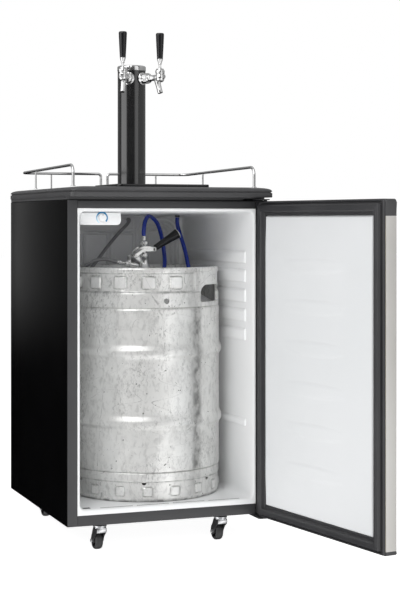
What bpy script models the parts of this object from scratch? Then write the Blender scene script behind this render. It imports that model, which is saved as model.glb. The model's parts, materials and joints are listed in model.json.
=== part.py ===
"""Two-tap kegerator: refrigerated cabinet on casters, keg, coupler, lines and draught tower.

Metres, +Z up. The cabinet's front faces -Y. All pieces are placed in the cabinet's own frame,
whose zero is the front-left-bottom corner of the cabinet box; the root empty moves that frame
so that the world origin is the middle of the footprint on the floor, with the door open.
"""
import math

import bmesh
import bpy
from mathutils import Matrix, Vector

# ---------------------------------------------------------------- driving dimensions
CAB_W, CAB_D, CAB_H = 0.530, 0.578, 0.806       # steel box without worktop
SHEET = 0.002                                   # sheet metal
GAP = 0.0003                                    # between pieces that touch
CASTER_H = 0.068                                # floor to cabinet bottom
ORIGIN_X, ORIGIN_Y = 0.3085643, 0.0290621       # footprint centre in the cabinet frame

FLANGE_W = 0.0265                               # front flange of each side
OPEN_Z0, OPEN_Z1 = 0.0262, 0.785                # opening, bottom and top
RAIL_D = 0.015                                  # depth of the front rails

CAV_X0, CAV_X1 = 0.0345, 0.4955                 # liner cavity at the front
CAV_BACK_IN = 0.0085                            # how far each side wall leans in at the back
CAV_Z0 = 0.040                                  # cavity floor
CAV_Z1, CAV_BACK_Z1 = 0.776, 0.7685             # ceiling at the front and at the back
CAV_Y1 = 0.497                                  # cavity back wall
HUMP_Y, HUMP_Z = 0.450, 0.288                   # compressor hump in the liner
LINER_T = 0.0025
RIB_Z = [0.164 + 0.053 * i for i in range(10)]  # shelf ribs on the side walls

TOP_OVER, TOP_FRONT = 0.004, 0.048              # worktop overhang, sides and front
TOP_Z0, TOP_Z1 = 0.810, 0.8395                  # worktop underside and crown
TOP_CORNER = 0.016                              # plan radius of the worktop's corners

TOWER_X, TOWER_Y, TOWER_R = 0.265, 0.296, 0.0376
TOWER_TOP = 1.1714
CAP_H = 0.014
SHANK_Z = 1.135
TAP_ANGLE = math.radians(32)                    # each tap's turn from straight ahead
TAP_REACH = 0.098                               # tower axis to tap handle
PIVOT_Z = 0.020                                 # lever ball above the shank's axis
RISER_REACH = 0.029                             # tower axis to the riser under each shank

KEG_X, KEG_Y, KEG_H = 0.278, 0.232, 0.594
KEG_Z = CAV_Z0 + GAP
KEG_R, KEG_RIB_R, CHIME_R = 0.2005, 0.2055, 0.197
HAND_HOLES = (math.radians(-44), math.radians(136))    # about the keg's axis

DOOR_T, DOOR_GASKET = 0.0333, 0.014             # door body and gasket space
DOOR_Z0, DOOR_Z1 = -0.003, 0.8035
DOOR_CAP_H = 0.039
HINGE_X, HINGE_Y = 0.519, -0.027                # hinge axis
DOOR_OPEN = math.radians(99.1)                  # opening in the rest pose

WHEEL_R, WHEEL_W, TRAIL = 0.0225, 0.020, 0.024
CASTERS = {"front_left": (0.091, 0.022), "front_right": (0.414, 0.022),
           "rear_left": (0.080, 0.473), "rear_right": (0.450, 0.473)}

TRAY_X0, TRAY_X1, TRAY_Y0, TRAY_Y1 = 0.140, 0.390, 0.030, 0.235
TRAY_DEPTH = 0.013                              # pan below the worktop's crown
PASSAGE_X, PASSAGE_Y, PASSAGE_R = 0.265, 0.284, 0.030
SPLIT_X, SPLIT_Y = 0.417, 0.352                 # line splitter in the ceiling
CHANNEL = (0.236, 0.440, 0.255, 0.380, 0.7765, 0.8035)
GAS_X, GAS_Z = 0.314, 0.757                     # gas bulkhead in the back wall
HOSE_R, GAS_HOSE_R, RISER_R = 0.0056, 0.0047, 0.0045


# ---------------------------------------------------------------- helpers
def clear_scene():
    for old in list(bpy.data.objects):
        bpy.data.objects.remove(old, do_unlink=True)


def material(name, colour, roughness, metallic=0.0):
    found = bpy.data.materials.get(name)
    if found:
        return found
    made = bpy.data.materials.new(name)
    made.use_nodes = True
    shader = made.node_tree.nodes["Principled BSDF"]
    shader.inputs["Base Color"].default_value = (*colour, 1.0)
    shader.inputs["Roughness"].default_value = roughness
    shader.inputs["Metallic"].default_value = metallic
    return made


def empty(name, parent=None, location=(0, 0, 0), turn=0.0):
    made = bpy.data.objects.new(name, None)
    bpy.context.scene.collection.objects.link(made)
    made.parent = parent
    made.location = location
    made.rotation_euler = (0, 0, turn)
    return made


def add(name, bm, mat, parent, smooth=35.0):
    """Turn a bmesh into the named object, shaded smooth below the given angle."""
    bmesh.ops.remove_doubles(bm, verts=bm.verts, dist=1e-6)
    bmesh.ops.recalc_face_normals(bm, faces=bm.faces)
    mesh = bpy.data.meshes.new(name)
    bm.to_mesh(mesh)
    bm.free()
    made = bpy.data.objects.new(name, mesh)
    bpy.context.scene.collection.objects.link(made)
    made.parent = parent
    if mat:
        mesh.materials.append(mat)
    mesh.shade_smooth()
    mesh.set_sharp_from_angle(angle=math.radians(smooth))
    return made


def combine(target, other_bm, operation):
    """Join or cut the target with another closed shape in the same frame."""
    other = add(target.name + "_tool", other_bm, None, target.parent)
    step = target.modifiers.new(operation, "BOOLEAN")
    step.operation = operation
    step.solver = "EXACT"
    step.object = other
    bpy.context.view_layer.update()
    graph = bpy.context.evaluated_depsgraph_get()
    result = bpy.data.meshes.new_from_object(target.evaluated_get(graph))
    target.modifiers.clear()
    target.data = result
    bpy.data.objects.remove(other, do_unlink=True)
    result.shade_smooth()
    result.set_sharp_from_angle(angle=math.radians(35.0))
    return target


def union(target, *shapes):
    for shape in shapes:
        combine(target, shape, "UNION")
    return target


def cut(target, *shapes):
    for shape in shapes:
        combine(target, shape, "DIFFERENCE")
    return target


def box(x0, x1, y0, y1, z0, z1, bevel=0.0, segments=1):
    bm = bmesh.new()
    centre = Vector(((x0 + x1) / 2, (y0 + y1) / 2, (z0 + z1) / 2))
    size = Matrix.Diagonal((x1 - x0, y1 - y0, z1 - z0, 1.0))
    bmesh.ops.create_cube(bm, size=1.0, matrix=Matrix.Translation(centre) @ size)
    if bevel:
        bmesh.ops.bevel(bm, geom=bm.edges[:], offset=bevel, segments=segments,
                        profile=0.5, affect="EDGES")
    return bm


def loft(loops):
    """Skin a stack of loops of equal length and close both ends."""
    bm = bmesh.new()
    rings = [[bm.verts.new(point) for point in loop] for loop in loops]
    count = len(rings[0])
    for low, high in zip(rings, rings[1:]):
        for i in range(count):
            j = (i + 1) % count
            bm.faces.new((low[i], low[j], high[j], high[i]))
    bm.faces.new(rings[0][::-1])
    bm.faces.new(rings[-1])
    return bm


def rectangle_y(y, x0, x1, z0, z1):
    return [(x0, y, z0), (x1, y, z0), (x1, y, z1), (x0, y, z1)]


def rounded_rectangle(x0, x1, y0, y1, z, radius, steps=4):
    """Plan outline with round corners, counter-clockwise."""
    corners = [(x1 - radius, y0 + radius, -90), (x1 - radius, y1 - radius, 0),
               (x0 + radius, y1 - radius, 90), (x0 + radius, y0 + radius, 180)]
    points = []
    for cx, cy, start in corners:
        for i in range(steps + 1):
            angle = math.radians(start + 90 * i / steps)
            points.append((cx + radius * math.cos(angle), cy + radius * math.sin(angle), z))
    return points


def extrude_outline(outline, thickness, normal_axis, start):
    """Prism from a 2-D outline; normal_axis X takes (y, z) points, Y takes (x, z), Z (x, y)."""
    def place(point, depth):
        a, b = point
        return {"X": (depth, a, b), "Y": (a, depth, b), "Z": (a, b, depth)}[normal_axis]
    return loft([[place(p, start) for p in outline],
                 [place(p, start + thickness) for p in outline]])


def turned(profile, steps=32, centre=(0, 0, 0), axis="Z"):
    """Spin (radius, height) points about an axis through centre; closed if the ends are on it
    or if the first point is repeated at the end."""
    bm = bmesh.new()
    verts = [bm.verts.new((radius, 0, height)) for radius, height in profile[:-1]]
    if profile[-1] == profile[0]:
        verts.append(verts[0])
    else:
        verts.append(bm.verts.new((profile[-1][0], 0, profile[-1][1])))
    edges = [bm.edges.new(pair) for pair in zip(verts, verts[1:])]
    bmesh.ops.spin(bm, geom=bm.verts[:] + edges, cent=(0, 0, 0), axis=(0, 0, 1),
                   dvec=(0, 0, 0), angle=math.tau, steps=steps, use_merge=True)
    bmesh.ops.remove_doubles(bm, verts=bm.verts, dist=1e-6)
    turn = {"Z": Matrix.Identity(4), "X": Matrix.Rotation(math.pi / 2, 4, "Y"),
            "Y": Matrix.Rotation(-math.pi / 2, 4, "X"),
            "-Y": Matrix.Rotation(math.pi / 2, 4, "X")}[axis]
    bmesh.ops.transform(bm, matrix=Matrix.Translation(centre) @ turn, verts=bm.verts)
    bmesh.ops.recalc_face_normals(bm, faces=bm.faces)
    return bm


def rod(start, end, radius, end_radius=None, steps=16):
    """Straight round bar between two points, or a cone when end_radius differs."""
    start, end = Vector(start), Vector(end)
    direction = end - start
    turn = Vector((0, 0, 1)).rotation_difference(direction).to_matrix().to_4x4()
    bm = bmesh.new()
    bmesh.ops.create_cone(bm, cap_ends=True, segments=steps, radius1=radius,
                          radius2=radius if end_radius is None else end_radius,
                          depth=direction.length,
                          matrix=Matrix.Translation((start + end) / 2) @ turn)
    return bm


def ball(centre, radius, u=20, v=12):
    bm = bmesh.new()
    bmesh.ops.create_uvsphere(bm, u_segments=u, v_segments=v, radius=radius,
                              matrix=Matrix.Translation(centre))
    return bm


def sweep(path, radius, sides=10):
    """Round bar along a path, with frames carried along so that it doesn't twist."""
    points = [Vector(p) for p in path]
    tangents = []
    for i in range(len(points)):
        before = points[max(i - 1, 0)]
        after = points[min(i + 1, len(points) - 1)]
        tangents.append((after - before).normalized())
    side = tangents[0].orthogonal().normalized()
    loops = []
    for i, (point, tangent) in enumerate(zip(points, tangents)):
        if i:
            side = tangents[i - 1].rotation_difference(tangent) @ side
        other = tangent.cross(side).normalized()
        loops.append([point + radius * (math.cos(a) * side + math.sin(a) * other)
                      for a in (math.tau * k / sides for k in range(sides))])
    return loft(loops)


def rounded_path(corners, radii, steps=5):
    """Polyline whose inner corners are replaced by arcs."""
    points = [Vector(corners[0])]
    for before, corner, after, radius in zip(corners, corners[1:], corners[2:], radii):
        before, corner, after = Vector(before), Vector(corner), Vector(after)
        a, b = (before - corner).normalized(), (after - corner).normalized()
        half = a.angle(b) / 2
        reach = radius / math.tan(half)
        centre = corner + (a + b).normalized() * radius / math.sin(half)
        start, end = corner + a * reach - centre, corner + b * reach - centre
        swing = start.angle(end)
        for i in range(steps + 1):
            t = i / steps
            blend = (math.sin((1 - t) * swing) * start + math.sin(t * swing) * end)
            points.append(centre + blend / math.sin(swing))
    points.append(Vector(corners[-1]))
    return points


def smooth_route(route, count):
    """Points at equal steps along a Catmull-Rom curve through the route."""
    knots = [Vector(p) for p in route]
    knots = [2 * knots[0] - knots[1]] + knots + [2 * knots[-1] - knots[-2]]
    fine = []
    for a, b, c, d in zip(knots, knots[1:], knots[2:], knots[3:]):
        for i in range(40):
            t = i / 40
            fine.append(0.5 * ((2 * b) + (c - a) * t + (2 * a - 5 * b + 4 * c - d) * t * t
                               + (3 * b - a - 3 * c + d) * t ** 3))
    fine.append(knots[-2])
    lengths = [0.0]
    for p, q in zip(fine, fine[1:]):
        lengths.append(lengths[-1] + (q - p).length)
    out, k = [], 0
    for i in range(count):
        want = lengths[-1] * i / (count - 1)
        while k < len(fine) - 2 and lengths[k + 1] < want:
            k += 1
        part = (want - lengths[k]) / (lengths[k + 1] - lengths[k])
        out.append(fine[k].lerp(fine[k + 1], part))
    return out


def hose(name, route, radius, mat, parent, count, resolution=2):
    """Flexible line as a bevelled poly curve with filled caps."""
    curve = bpy.data.curves.new(name, "CURVE")
    curve.dimensions = "3D"
    curve.bevel_depth = radius
    curve.bevel_resolution = resolution
    curve.use_fill_caps = True
    spline = curve.splines.new("POLY")
    points = smooth_route(route, count)
    spline.points.add(len(points) - 1)
    for target, point in zip(spline.points, points):
        target.co = (*point, 1.0)
    curve.materials.append(mat)
    made = bpy.data.objects.new(name, curve)
    bpy.context.scene.collection.objects.link(made)
    made.parent = parent
    return made


# ---------------------------------------------------------------- scene and materials
clear_scene()
root = empty("cabinet_frame", location=(-ORIGIN_X, -ORIGIN_Y, CASTER_H))

BLACK_PAINT = material("black_paint", (0.012, 0.012, 0.013), 0.35)
BLACK_PLASTIC = material("black_plastic", (0.03, 0.03, 0.032), 0.45)
GREY_FRAME = material("dark_grey_frame", (0.07, 0.07, 0.075), 0.4)
WHITE_PLASTIC = material("white_plastic", (0.8, 0.81, 0.82), 0.4)
FOAM = material("foam", (0.85, 0.75, 0.45), 0.9)
STEEL = material("brushed_steel", (0.6, 0.59, 0.57), 0.35, 1.0)
KEG_STEEL = material("keg_steel", (0.62, 0.61, 0.59), 0.42, 1.0)
CHROME = material("chrome", (0.8, 0.8, 0.8), 0.08, 1.0)
ZINC = material("zinc", (0.65, 0.65, 0.66), 0.3, 1.0)
ALUMINIUM = material("aluminium", (0.42, 0.42, 0.43), 0.5, 1.0)
RUBBER = material("rubber", (0.03, 0.03, 0.03), 0.7)
BLUE_HOSE = material("blue_hose", (0.01, 0.02, 0.25), 0.3)
GREY_HOSE = material("grey_hose", (0.08, 0.08, 0.085), 0.4)


# ---------------------------------------------------------------- cabinet
def passage(z0, z1, radius=PASSAGE_R):
    return rod((PASSAGE_X, PASSAGE_Y, z0), (PASSAGE_X, PASSAGE_Y, z1), radius, steps=16)


def gas_hole(radius, y0=0.45, y1=0.62):
    return rod((GAS_X, y0, GAS_Z), (GAS_X, y1, GAS_Z), radius, steps=12)


def build_shell():
    """Side walls, top and the folded front flanges; open at the back and underneath."""
    shell = add("outer_shell", box(0, CAB_W, 0, CAB_D, 0, CAB_H), BLACK_PAINT, root)
    cut(shell,
        box(SHEET, CAB_W - SHEET, SHEET, CAB_D + 0.01, -0.01, CAB_H - SHEET),
        box(FLANGE_W, CAB_W - FLANGE_W, -0.01, 0.01, -0.01, CAB_H - SHEET),
        passage(CAB_H - 0.02, CAB_H + 0.02))


def build_front_rails():
    x0, x1 = FLANGE_W + GAP, CAB_W - FLANGE_W - GAP
    add("front_top_rail", box(x0, x1, 0, RAIL_D, OPEN_Z1, CAB_H - SHEET - GAP),
        GREY_FRAME, root)
    add("front_bottom_rail", box(x0, x1, 0, RAIL_D, 0, OPEN_Z0), GREY_FRAME, root)


def cavity_loft(grow, y0, y1, hump_floor=None):
    """The liner's cavity, grown by an offset, between two depths."""
    def section(y, extra):
        t = max(y, 0.0) / CAV_Y1
        lean = CAV_BACK_IN * t
        top = CAV_Z1 + (CAV_BACK_Z1 - CAV_Z1) * t
        floor = CAV_Z0 if hump_floor is None else hump_floor
        return rectangle_y(y + extra, CAV_X0 + lean - grow, CAV_X1 - lean + grow,
                           floor - grow, top + grow)
    return loft([section(y0, 0.0), section(y1, grow)])


def build_liner():
    front = 0.0045
    liner = add("inner_liner", cavity_loft(LINER_T, front, HUMP_Y), WHITE_PLASTIC, root)
    union(liner, cavity_loft(LINER_T, front, CAV_Y1, HUMP_Z),
          box(FLANGE_W + GAP, CAB_W - FLANGE_W - GAP, GAP, 0.0048,
              OPEN_Z0 + GAP, OPEN_Z1 - GAP))
    cut(liner, cavity_loft(0.0, -0.01, HUMP_Y), cavity_loft(0.0, -0.01, CAV_Y1, HUMP_Z),
        rod((SPLIT_X, SPLIT_Y, 0.75), (SPLIT_X, SPLIT_Y, 0.80), 0.0078, steps=12),
        gas_hole(0.0072))
    for z in RIB_Z:
        for side in (-1, 1):
            rib = []
            for y in (0.055, 0.435):
                lean = CAV_BACK_IN * y / CAV_Y1
                wall = CAV_X0 + lean if side < 0 else CAV_X1 - lean
                x0, x1 = sorted((wall + side * 0.001, wall - side * 0.004))
                rib.append(rectangle_y(y, x0, x1, z, z + 0.006))
            union(liner, loft(rib))


def build_foam():
    """Foam between shell and liner, with the line channel above the ceiling."""
    edge = SHEET + GAP
    foam = add("insulation_foam",
               box(edge, CAB_W - edge, RAIL_D + GAP, 0.5755, 0.0023, CAB_H - edge),
               FOAM, root)
    grow = LINER_T + GAP
    cut(foam, cavity_loft(grow, 0.0, HUMP_Y), cavity_loft(grow, 0.0, CAV_Y1, HUMP_Z),
        box(-0.01, CAB_W + 0.01, 0.4777, 0.60, -0.01, 0.2643),
        box(*CHANNEL), passage(0.79, 0.82),
        rod((SPLIT_X, SPLIT_Y, 0.76), (SPLIT_X, SPLIT_Y, 0.79), 0.0078, steps=12),
        gas_hole(0.0072))


def build_base():
    """Bottom plate, compressor bay wall and shelf folded from one sheet, caster pads."""
    y0, y1 = RAIL_D + GAP, CAB_D
    wall, shelf = 0.478, 0.262
    outline = [(y0, 0), (y1, 0), (y1, SHEET), (wall + SHEET, SHEET), (wall + SHEET, shelf),
               (y1, shelf), (y1, shelf + SHEET), (wall, shelf + SHEET), (wall, SHEET),
               (y0, SHEET)]
    edge = SHEET + GAP
    base = add("base_pan", extrude_outline(outline, CAB_W - 2 * edge, "X", edge),
               GREY_FRAME, root)
    for x, y in CASTERS.values():
        union(base, box(x - 0.021, x + 0.021, max(y - 0.021, 0.0155), y + 0.021,
                        -0.003, 0.001))


def build_back_panel():
    """Back sheet above the compressor bay, with two stand-off ribs for the condenser."""
    edge = SHEET + GAP
    back = add("back_panel", box(edge, CAB_W - edge, 0.576, CAB_D, 0.2645, CAB_H - edge),
               GREY_FRAME, root)
    for x in (0.110, 0.420):
        union(back, box(x - 0.008, x + 0.008, 0.577, 0.590, 0.310, 0.740))
    cut(back, gas_hole(0.0072))


def build_condenser():
    """Serpentine condenser tube on the back."""
    x0, x1, y = 0.070, 0.460, 0.590 + GAP + 0.0025
    runs, pitch, low = 8, 0.052, 0.335
    corners = [(x0, y, low)]
    for i in range(runs):
        z = low + pitch * i
        ends = (x1, x0) if i % 2 == 0 else (x0, x1)
        corners.append((ends[0], y, z))
        if i < runs - 1:
            corners.append((ends[0], y, z + pitch))
    path = rounded_path(corners, [0.0255] * (len(corners) - 2), steps=3)
    add("condenser_coil", sweep(path, 0.0025, 6), BLACK_PAINT, root)


def build_compressor():
    """Hermetic pot on a foot plate, with its start relay box."""
    x, y = 0.300, 0.530
    pot = turned([(0, 0.012), (0.030, 0.012), (0.041, 0.020), (0.044, 0.035),
                  (0.044, 0.075), (0.0455, 0.077), (0.0455, 0.083), (0.044, 0.085),
                  (0.044, 0.120), (0.038, 0.140), (0.022, 0.152), (0, 0.155)], 16)
    bmesh.ops.scale(pot, vec=(1.45, 1.0, 1.0), verts=pot.verts)
    bmesh.ops.translate(pot, vec=(x, y, 0), verts=pot.verts)
    made = add("compressor", pot, BLACK_PAINT, root)
    union(made, box(x - 0.085, x + 0.085, y - 0.040, y + 0.040, 0.0045, 0.016),
          box(x + 0.052, x + 0.088, y - 0.022, y + 0.022, 0.045, 0.095))
    for dx in (-0.072, 0.072):
        union(made, rod((x + dx, y - 0.030, SHEET + GAP), (x + dx, y - 0.030, 0.008), 0.008),
              rod((x + dx, y + 0.030, SHEET + GAP), (x + dx, y + 0.030, 0.008), 0.008))


def build_power_gland():
    add("power_cord_gland",
        turned([(0, 0), (0.014, 0), (0.014, 0.004), (0.010, 0.006), (0.0085, 0.020),
                (0.006, 0.021), (0.0035, 0.021), (0.0035, 0.010), (0, 0.010)], 14,
               (0.475, CAB_D + GAP, 0.295), "Y"), BLACK_PLASTIC, root)


def build_worktop():
    """Crowned slab with a bullnose, a pocket for the drip tray and the line passage."""
    levels = [(0.0012, TOP_Z0), (0, TOP_Z0 + 0.0012), (0, 0.822), (0.0015, 0.828),
              (0.005, 0.833), (0.011, 0.8368), (0.018, 0.8388), (0.026, TOP_Z1)]
    x0, x1, y0, y1 = -TOP_OVER, CAB_W + TOP_OVER, -TOP_FRONT, CAB_D
    loops = [rounded_rectangle(x0 + s, x1 - s, y0 + s, y1 - s, z, TOP_CORNER - 0.5 * s)
             for s, z in levels]
    top = add("worktop", loft(loops), BLACK_PLASTIC, root)
    union(top, box(0.001, CAB_W - 0.001, 0.001, CAB_D - 0.001, CAB_H + GAP, TOP_Z0 + 0.002))
    cut(top, box(0.468, CAB_W + 0.01, -0.0005, 0.062, CAB_H, TOP_Z0 - GAP),
        loft([rounded_rectangle(TRAY_X0 + 0.010, TRAY_X1 - 0.010, TRAY_Y0 + 0.010,
                                TRAY_Y1 - 0.010, z, 0.010)
              for z in (TOP_Z1 - TRAY_DEPTH - 0.002, TOP_Z1 + 0.01)]),
        passage(0.79, 0.85))


def build_guard_rails():
    """Two bent rails with feet and mid posts, open between them at the back."""
    wire, post, rise = 0.0036, 0.0026, TOP_Z1 + GAP
    high, low = 0.893, 0.887
    inset, front, rear = 0.022, 0.022, 0.530
    for name, side, gap_x, posts in (
            ("guard_rail_left", inset, 0.2505, ((inset, 0.384), (0.105, rear))),
            ("guard_rail_right", CAB_W - inset, 0.2705, ((CAB_W - inset, 0.391),
                                                         (0.416, rear)))):
        path = rounded_path([(side, front, rise), (side, front, high), (side, rear, low),
                             (gap_x, rear, low), (gap_x, rear, rise)],
                            (0.022, 0.024, 0.008), steps=4)
        rail = add(name, sweep(path, wire, 8), CHROME, root)
        for x, y in posts:
            along = (y - front) / (rear - front)
            top = high + (low - high) * along
            union(rail, rod((x, y, rise), (x, y, top), post, steps=8))


def build_hinge_brackets():
    """Upper and lower door hinge plates with their pins."""
    x0, x1 = HINGE_X - 0.022, CAB_W - 0.002
    top = add("hinge_bracket_top", box(x0, x1, HINGE_Y - 0.010, 0.055, CAB_H + GAP,
                                       CAB_H + 0.0031), GREY_FRAME, root)
    union(top, rod((HINGE_X, HINGE_Y, CAB_H + 0.001), (HINGE_X, HINGE_Y, 0.790), 0.004))
    low = add("hinge_bracket_bottom", box(x0, x1, HINGE_Y - 0.010, 0.045, -0.0066, -0.0036),
              GREY_FRAME, root)
    union(low, box(x0, x1, 0.004, 0.045, -0.0045, -GAP),
          rod((HINGE_X, HINGE_Y, -0.005), (HINGE_X, HINGE_Y, 0.009), 0.004))


def build_evaporator():
    plate = [(x, z) for x, z, _ in rounded_rectangle(0.045, 0.468, 0.400, 0.767, 0, 0.014, 4)]
    made = add("evaporator_plate", extrude_outline(plate, 0.003, "Y", 0.486),
               ALUMINIUM, root)
    cut(made, gas_hole(0.0072))


def build_thermostat():
    """Housing under the ceiling with its turning knob."""
    x0, x1, y0, y1 = 0.047, 0.154, 0.045, 0.150
    housing = add("thermostat_housing",
                  loft([rectangle_y(y0, x0, x1, 0.743, 0.7745),
                        rectangle_y(y1, x0, x1, 0.743, 0.7730)]), WHITE_PLASTIC, root)
    cut(housing, rod((0.1036, y0 - 0.01, 0.761), (0.1036, y0 + 0.012, 0.761), 0.0036))
    pivot = empty("thermostat_axis", root, (0.1036, y0, 0.761))
    knob = turned([(0, 0.0094), (0.0098, 0.0094), (0.011, 0.0082), (0.011, 0.0003),
                   (0.003, 0.0003), (0.003, -0.010), (0, -0.010)], 20, (0, 0, 0), "-Y")
    made = add("thermostat_knob", knob, WHITE_PLASTIC, pivot)
    union(made, box(-0.0012, 0.0012, -0.0108, -0.0090, 0.002, 0.0095))


# ---------------------------------------------------------------- draught tower
def build_tower():
    """Column with two shank holes, its flange and the chrome cap."""
    base_z = TOP_Z1 + GAP
    hole = TOWER_R - SHEET - 0.0004
    add("tower_flange", turned([(hole, base_z), (0.054, base_z), (0.054, base_z + 0.003),
                                (0.052, base_z + 0.005), (0.042, base_z + 0.006),
                                (hole, base_z + 0.006), (hole, base_z)], 28,
                               (TOWER_X, TOWER_Y, 0)), BLACK_PAINT, root)
    low, high = base_z + 0.006 + GAP, TOWER_TOP - CAP_H - GAP
    inner = TOWER_R - SHEET
    column = add("tower_column",
                 turned([(inner, low), (TOWER_R, low), (TOWER_R, high), (inner, high),
                         (inner, low)], 28, (TOWER_X, TOWER_Y, 0)), BLACK_PAINT, root)
    for side in (-1, 1):
        out = Vector((side * math.sin(TAP_ANGLE), -math.cos(TAP_ANGLE), 0))
        axis = Vector((TOWER_X, TOWER_Y, SHANK_Z))
        cut(column, rod(axis + out * 0.012, axis + out * 0.05, 0.0115, steps=24))
    low = TOWER_TOP - CAP_H
    add("tower_cap", turned([(0, low - 0.008), (inner - 0.0006, low - 0.008),
                             (inner - 0.0006, low), (TOWER_R + 0.0008, low),
                             (TOWER_R + 0.0008, TOWER_TOP - 0.004),
                             (TOWER_R - 0.002, TOWER_TOP - 0.001),
                             (TOWER_R - 0.008, TOWER_TOP), (0, TOWER_TOP)], 28,
                            (TOWER_X, TOWER_Y, 0)), CHROME, root)


def build_tap(side, name):
    """Shank, faucet, lever and handle of one tap, in a frame that looks along -Y."""
    frame = empty("tap_frame_" + name, root, (TOWER_X, TOWER_Y, SHANK_Z), side * TAP_ANGLE)
    shank = add("shank_" + name,
                turned([(0, 0.027), (0.0108, 0.027), (0.0108, TOWER_R + GAP),
                        (0.017, TOWER_R + GAP), (0.017, 0.0405), (0.014, 0.0445),
                        (0.0125, 0.046), (0.0125, 0.0485), (0, 0.0485)], 20, (0, 0, 0), "-Y"),
                CHROME, frame)
    union(shank, rod((0, -RISER_REACH, -0.004), (0, -RISER_REACH, -0.022), 0.0036))
    neck = turned([(0, 0.0488), (0.0142, 0.0488), (0.0142, 0.0600), (0.0128, 0.0615),
                   (0.0095, 0.0625), (0.0078, 0.075), (0.0100, 0.088),
                   (0.0100, TAP_REACH), (0, TAP_REACH)], 14, (0, 0, 0), "-Y")
    body = add("faucet_body_" + name, neck, CHROME, frame)
    y = -TAP_REACH
    head = turned([(0, -0.013), (0.0095, -0.011), (0.0122, -0.004), (0.0105, 0.009),
                   (0.0125, 0.011), (0.0125, 0.0185), (0.0108, PIVOT_Z + 0.003),
                   (0, PIVOT_Z + 0.003)], 14, (0, y, 0))
    tip = Vector((0, y - 0.0015, -0.0415))
    foot = Vector((0, y + 0.0105, -0.004))
    inside = tip - (tip - foot).normalized() * 0.018
    union(body, head, rod(foot, tip, 0.0078, 0.0066, 12),
          rod((0, y, 0.002), (0, y - 0.0155, 0.002), 0.0058, 0.0050, 10))
    cut(body, ball((0, y, PIVOT_Z), 0.0079, 12, 8),
        rod(tip + (tip - foot) * 0.1, inside, 0.0050, steps=10))
    pivot = empty("tap_axis_" + name, frame, (0, y, PIVOT_Z))
    lever = add("tap_lever_" + name, ball((0, 0, 0), 0.0070, 12, 8), CHROME, pivot)
    union(lever, turned([(0, 0.001), (0.0033, 0.001), (0.0033, 0.0150), (0.0046, 0.0155),
                         (0.0048, 0.0185), (0.0078, 0.0280), (0.0078, 0.0290), (0, 0.0290)],
                        12))
    add("tap_handle_" + name,
        turned([(0, 0.0293), (0.0079, 0.0293), (0.0084, 0.034), (0.0096, 0.060),
                (0.0109, 0.093), (0.0104, 0.0968), (0.0085, 0.0980), (0, 0.0980)], 16),
        BLACK_PLASTIC, pivot)


def build_lines_in_tower():
    """Splitter in the ceiling channel and the two risers up the tower."""
    split = add("line_splitter",
                box(SPLIT_X - 0.012, SPLIT_X + 0.012, SPLIT_Y - 0.012, SPLIT_Y + 0.012,
                    0.7775, 0.8025), BLACK_PLASTIC, root)
    union(split, rod((SPLIT_X, SPLIT_Y, 0.780), (SPLIT_X, SPLIT_Y, 0.7640), 0.0070),
          rod((SPLIT_X, SPLIT_Y, 0.7965), (SPLIT_X - 0.020, SPLIT_Y, 0.7965), 0.0036),
          rod((SPLIT_X, SPLIT_Y, 0.7835), (SPLIT_X - 0.020, SPLIT_Y, 0.7835), 0.0036))
    start_x = SPLIT_X - 0.020 - 2 * GAP
    for side, name, z in ((-1, "left", 0.7965), (1, "right", 0.7835)):
        top = Vector((TOWER_X + side * math.sin(TAP_ANGLE) * RISER_REACH,
                      TOWER_Y - math.cos(TAP_ANGLE) * RISER_REACH, SHANK_Z - 0.022 - GAP))
        start = Vector((start_x, SPLIT_Y, z))
        run = (Vector((top.x, top.y, z)) - start).normalized()
        turn = 0.034
        bend = [Vector((top.x, top.y, z + turn)) - run * turn * (1 - math.sin(a))
                - Vector((0, 0, turn * math.cos(a)))
                for a in (math.radians(degrees) for degrees in (0, 22.5, 45, 67.5, 90))]
        route = [start, start + Vector((-0.024, 0, 0)), start + run * 0.060,
                 *bend, Vector((top.x, top.y, 0.95)), top - Vector((0, 0, 0.02)), top]
        hose("beer_riser_" + name, route, RISER_R, BLUE_HOSE, root, 26)


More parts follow.
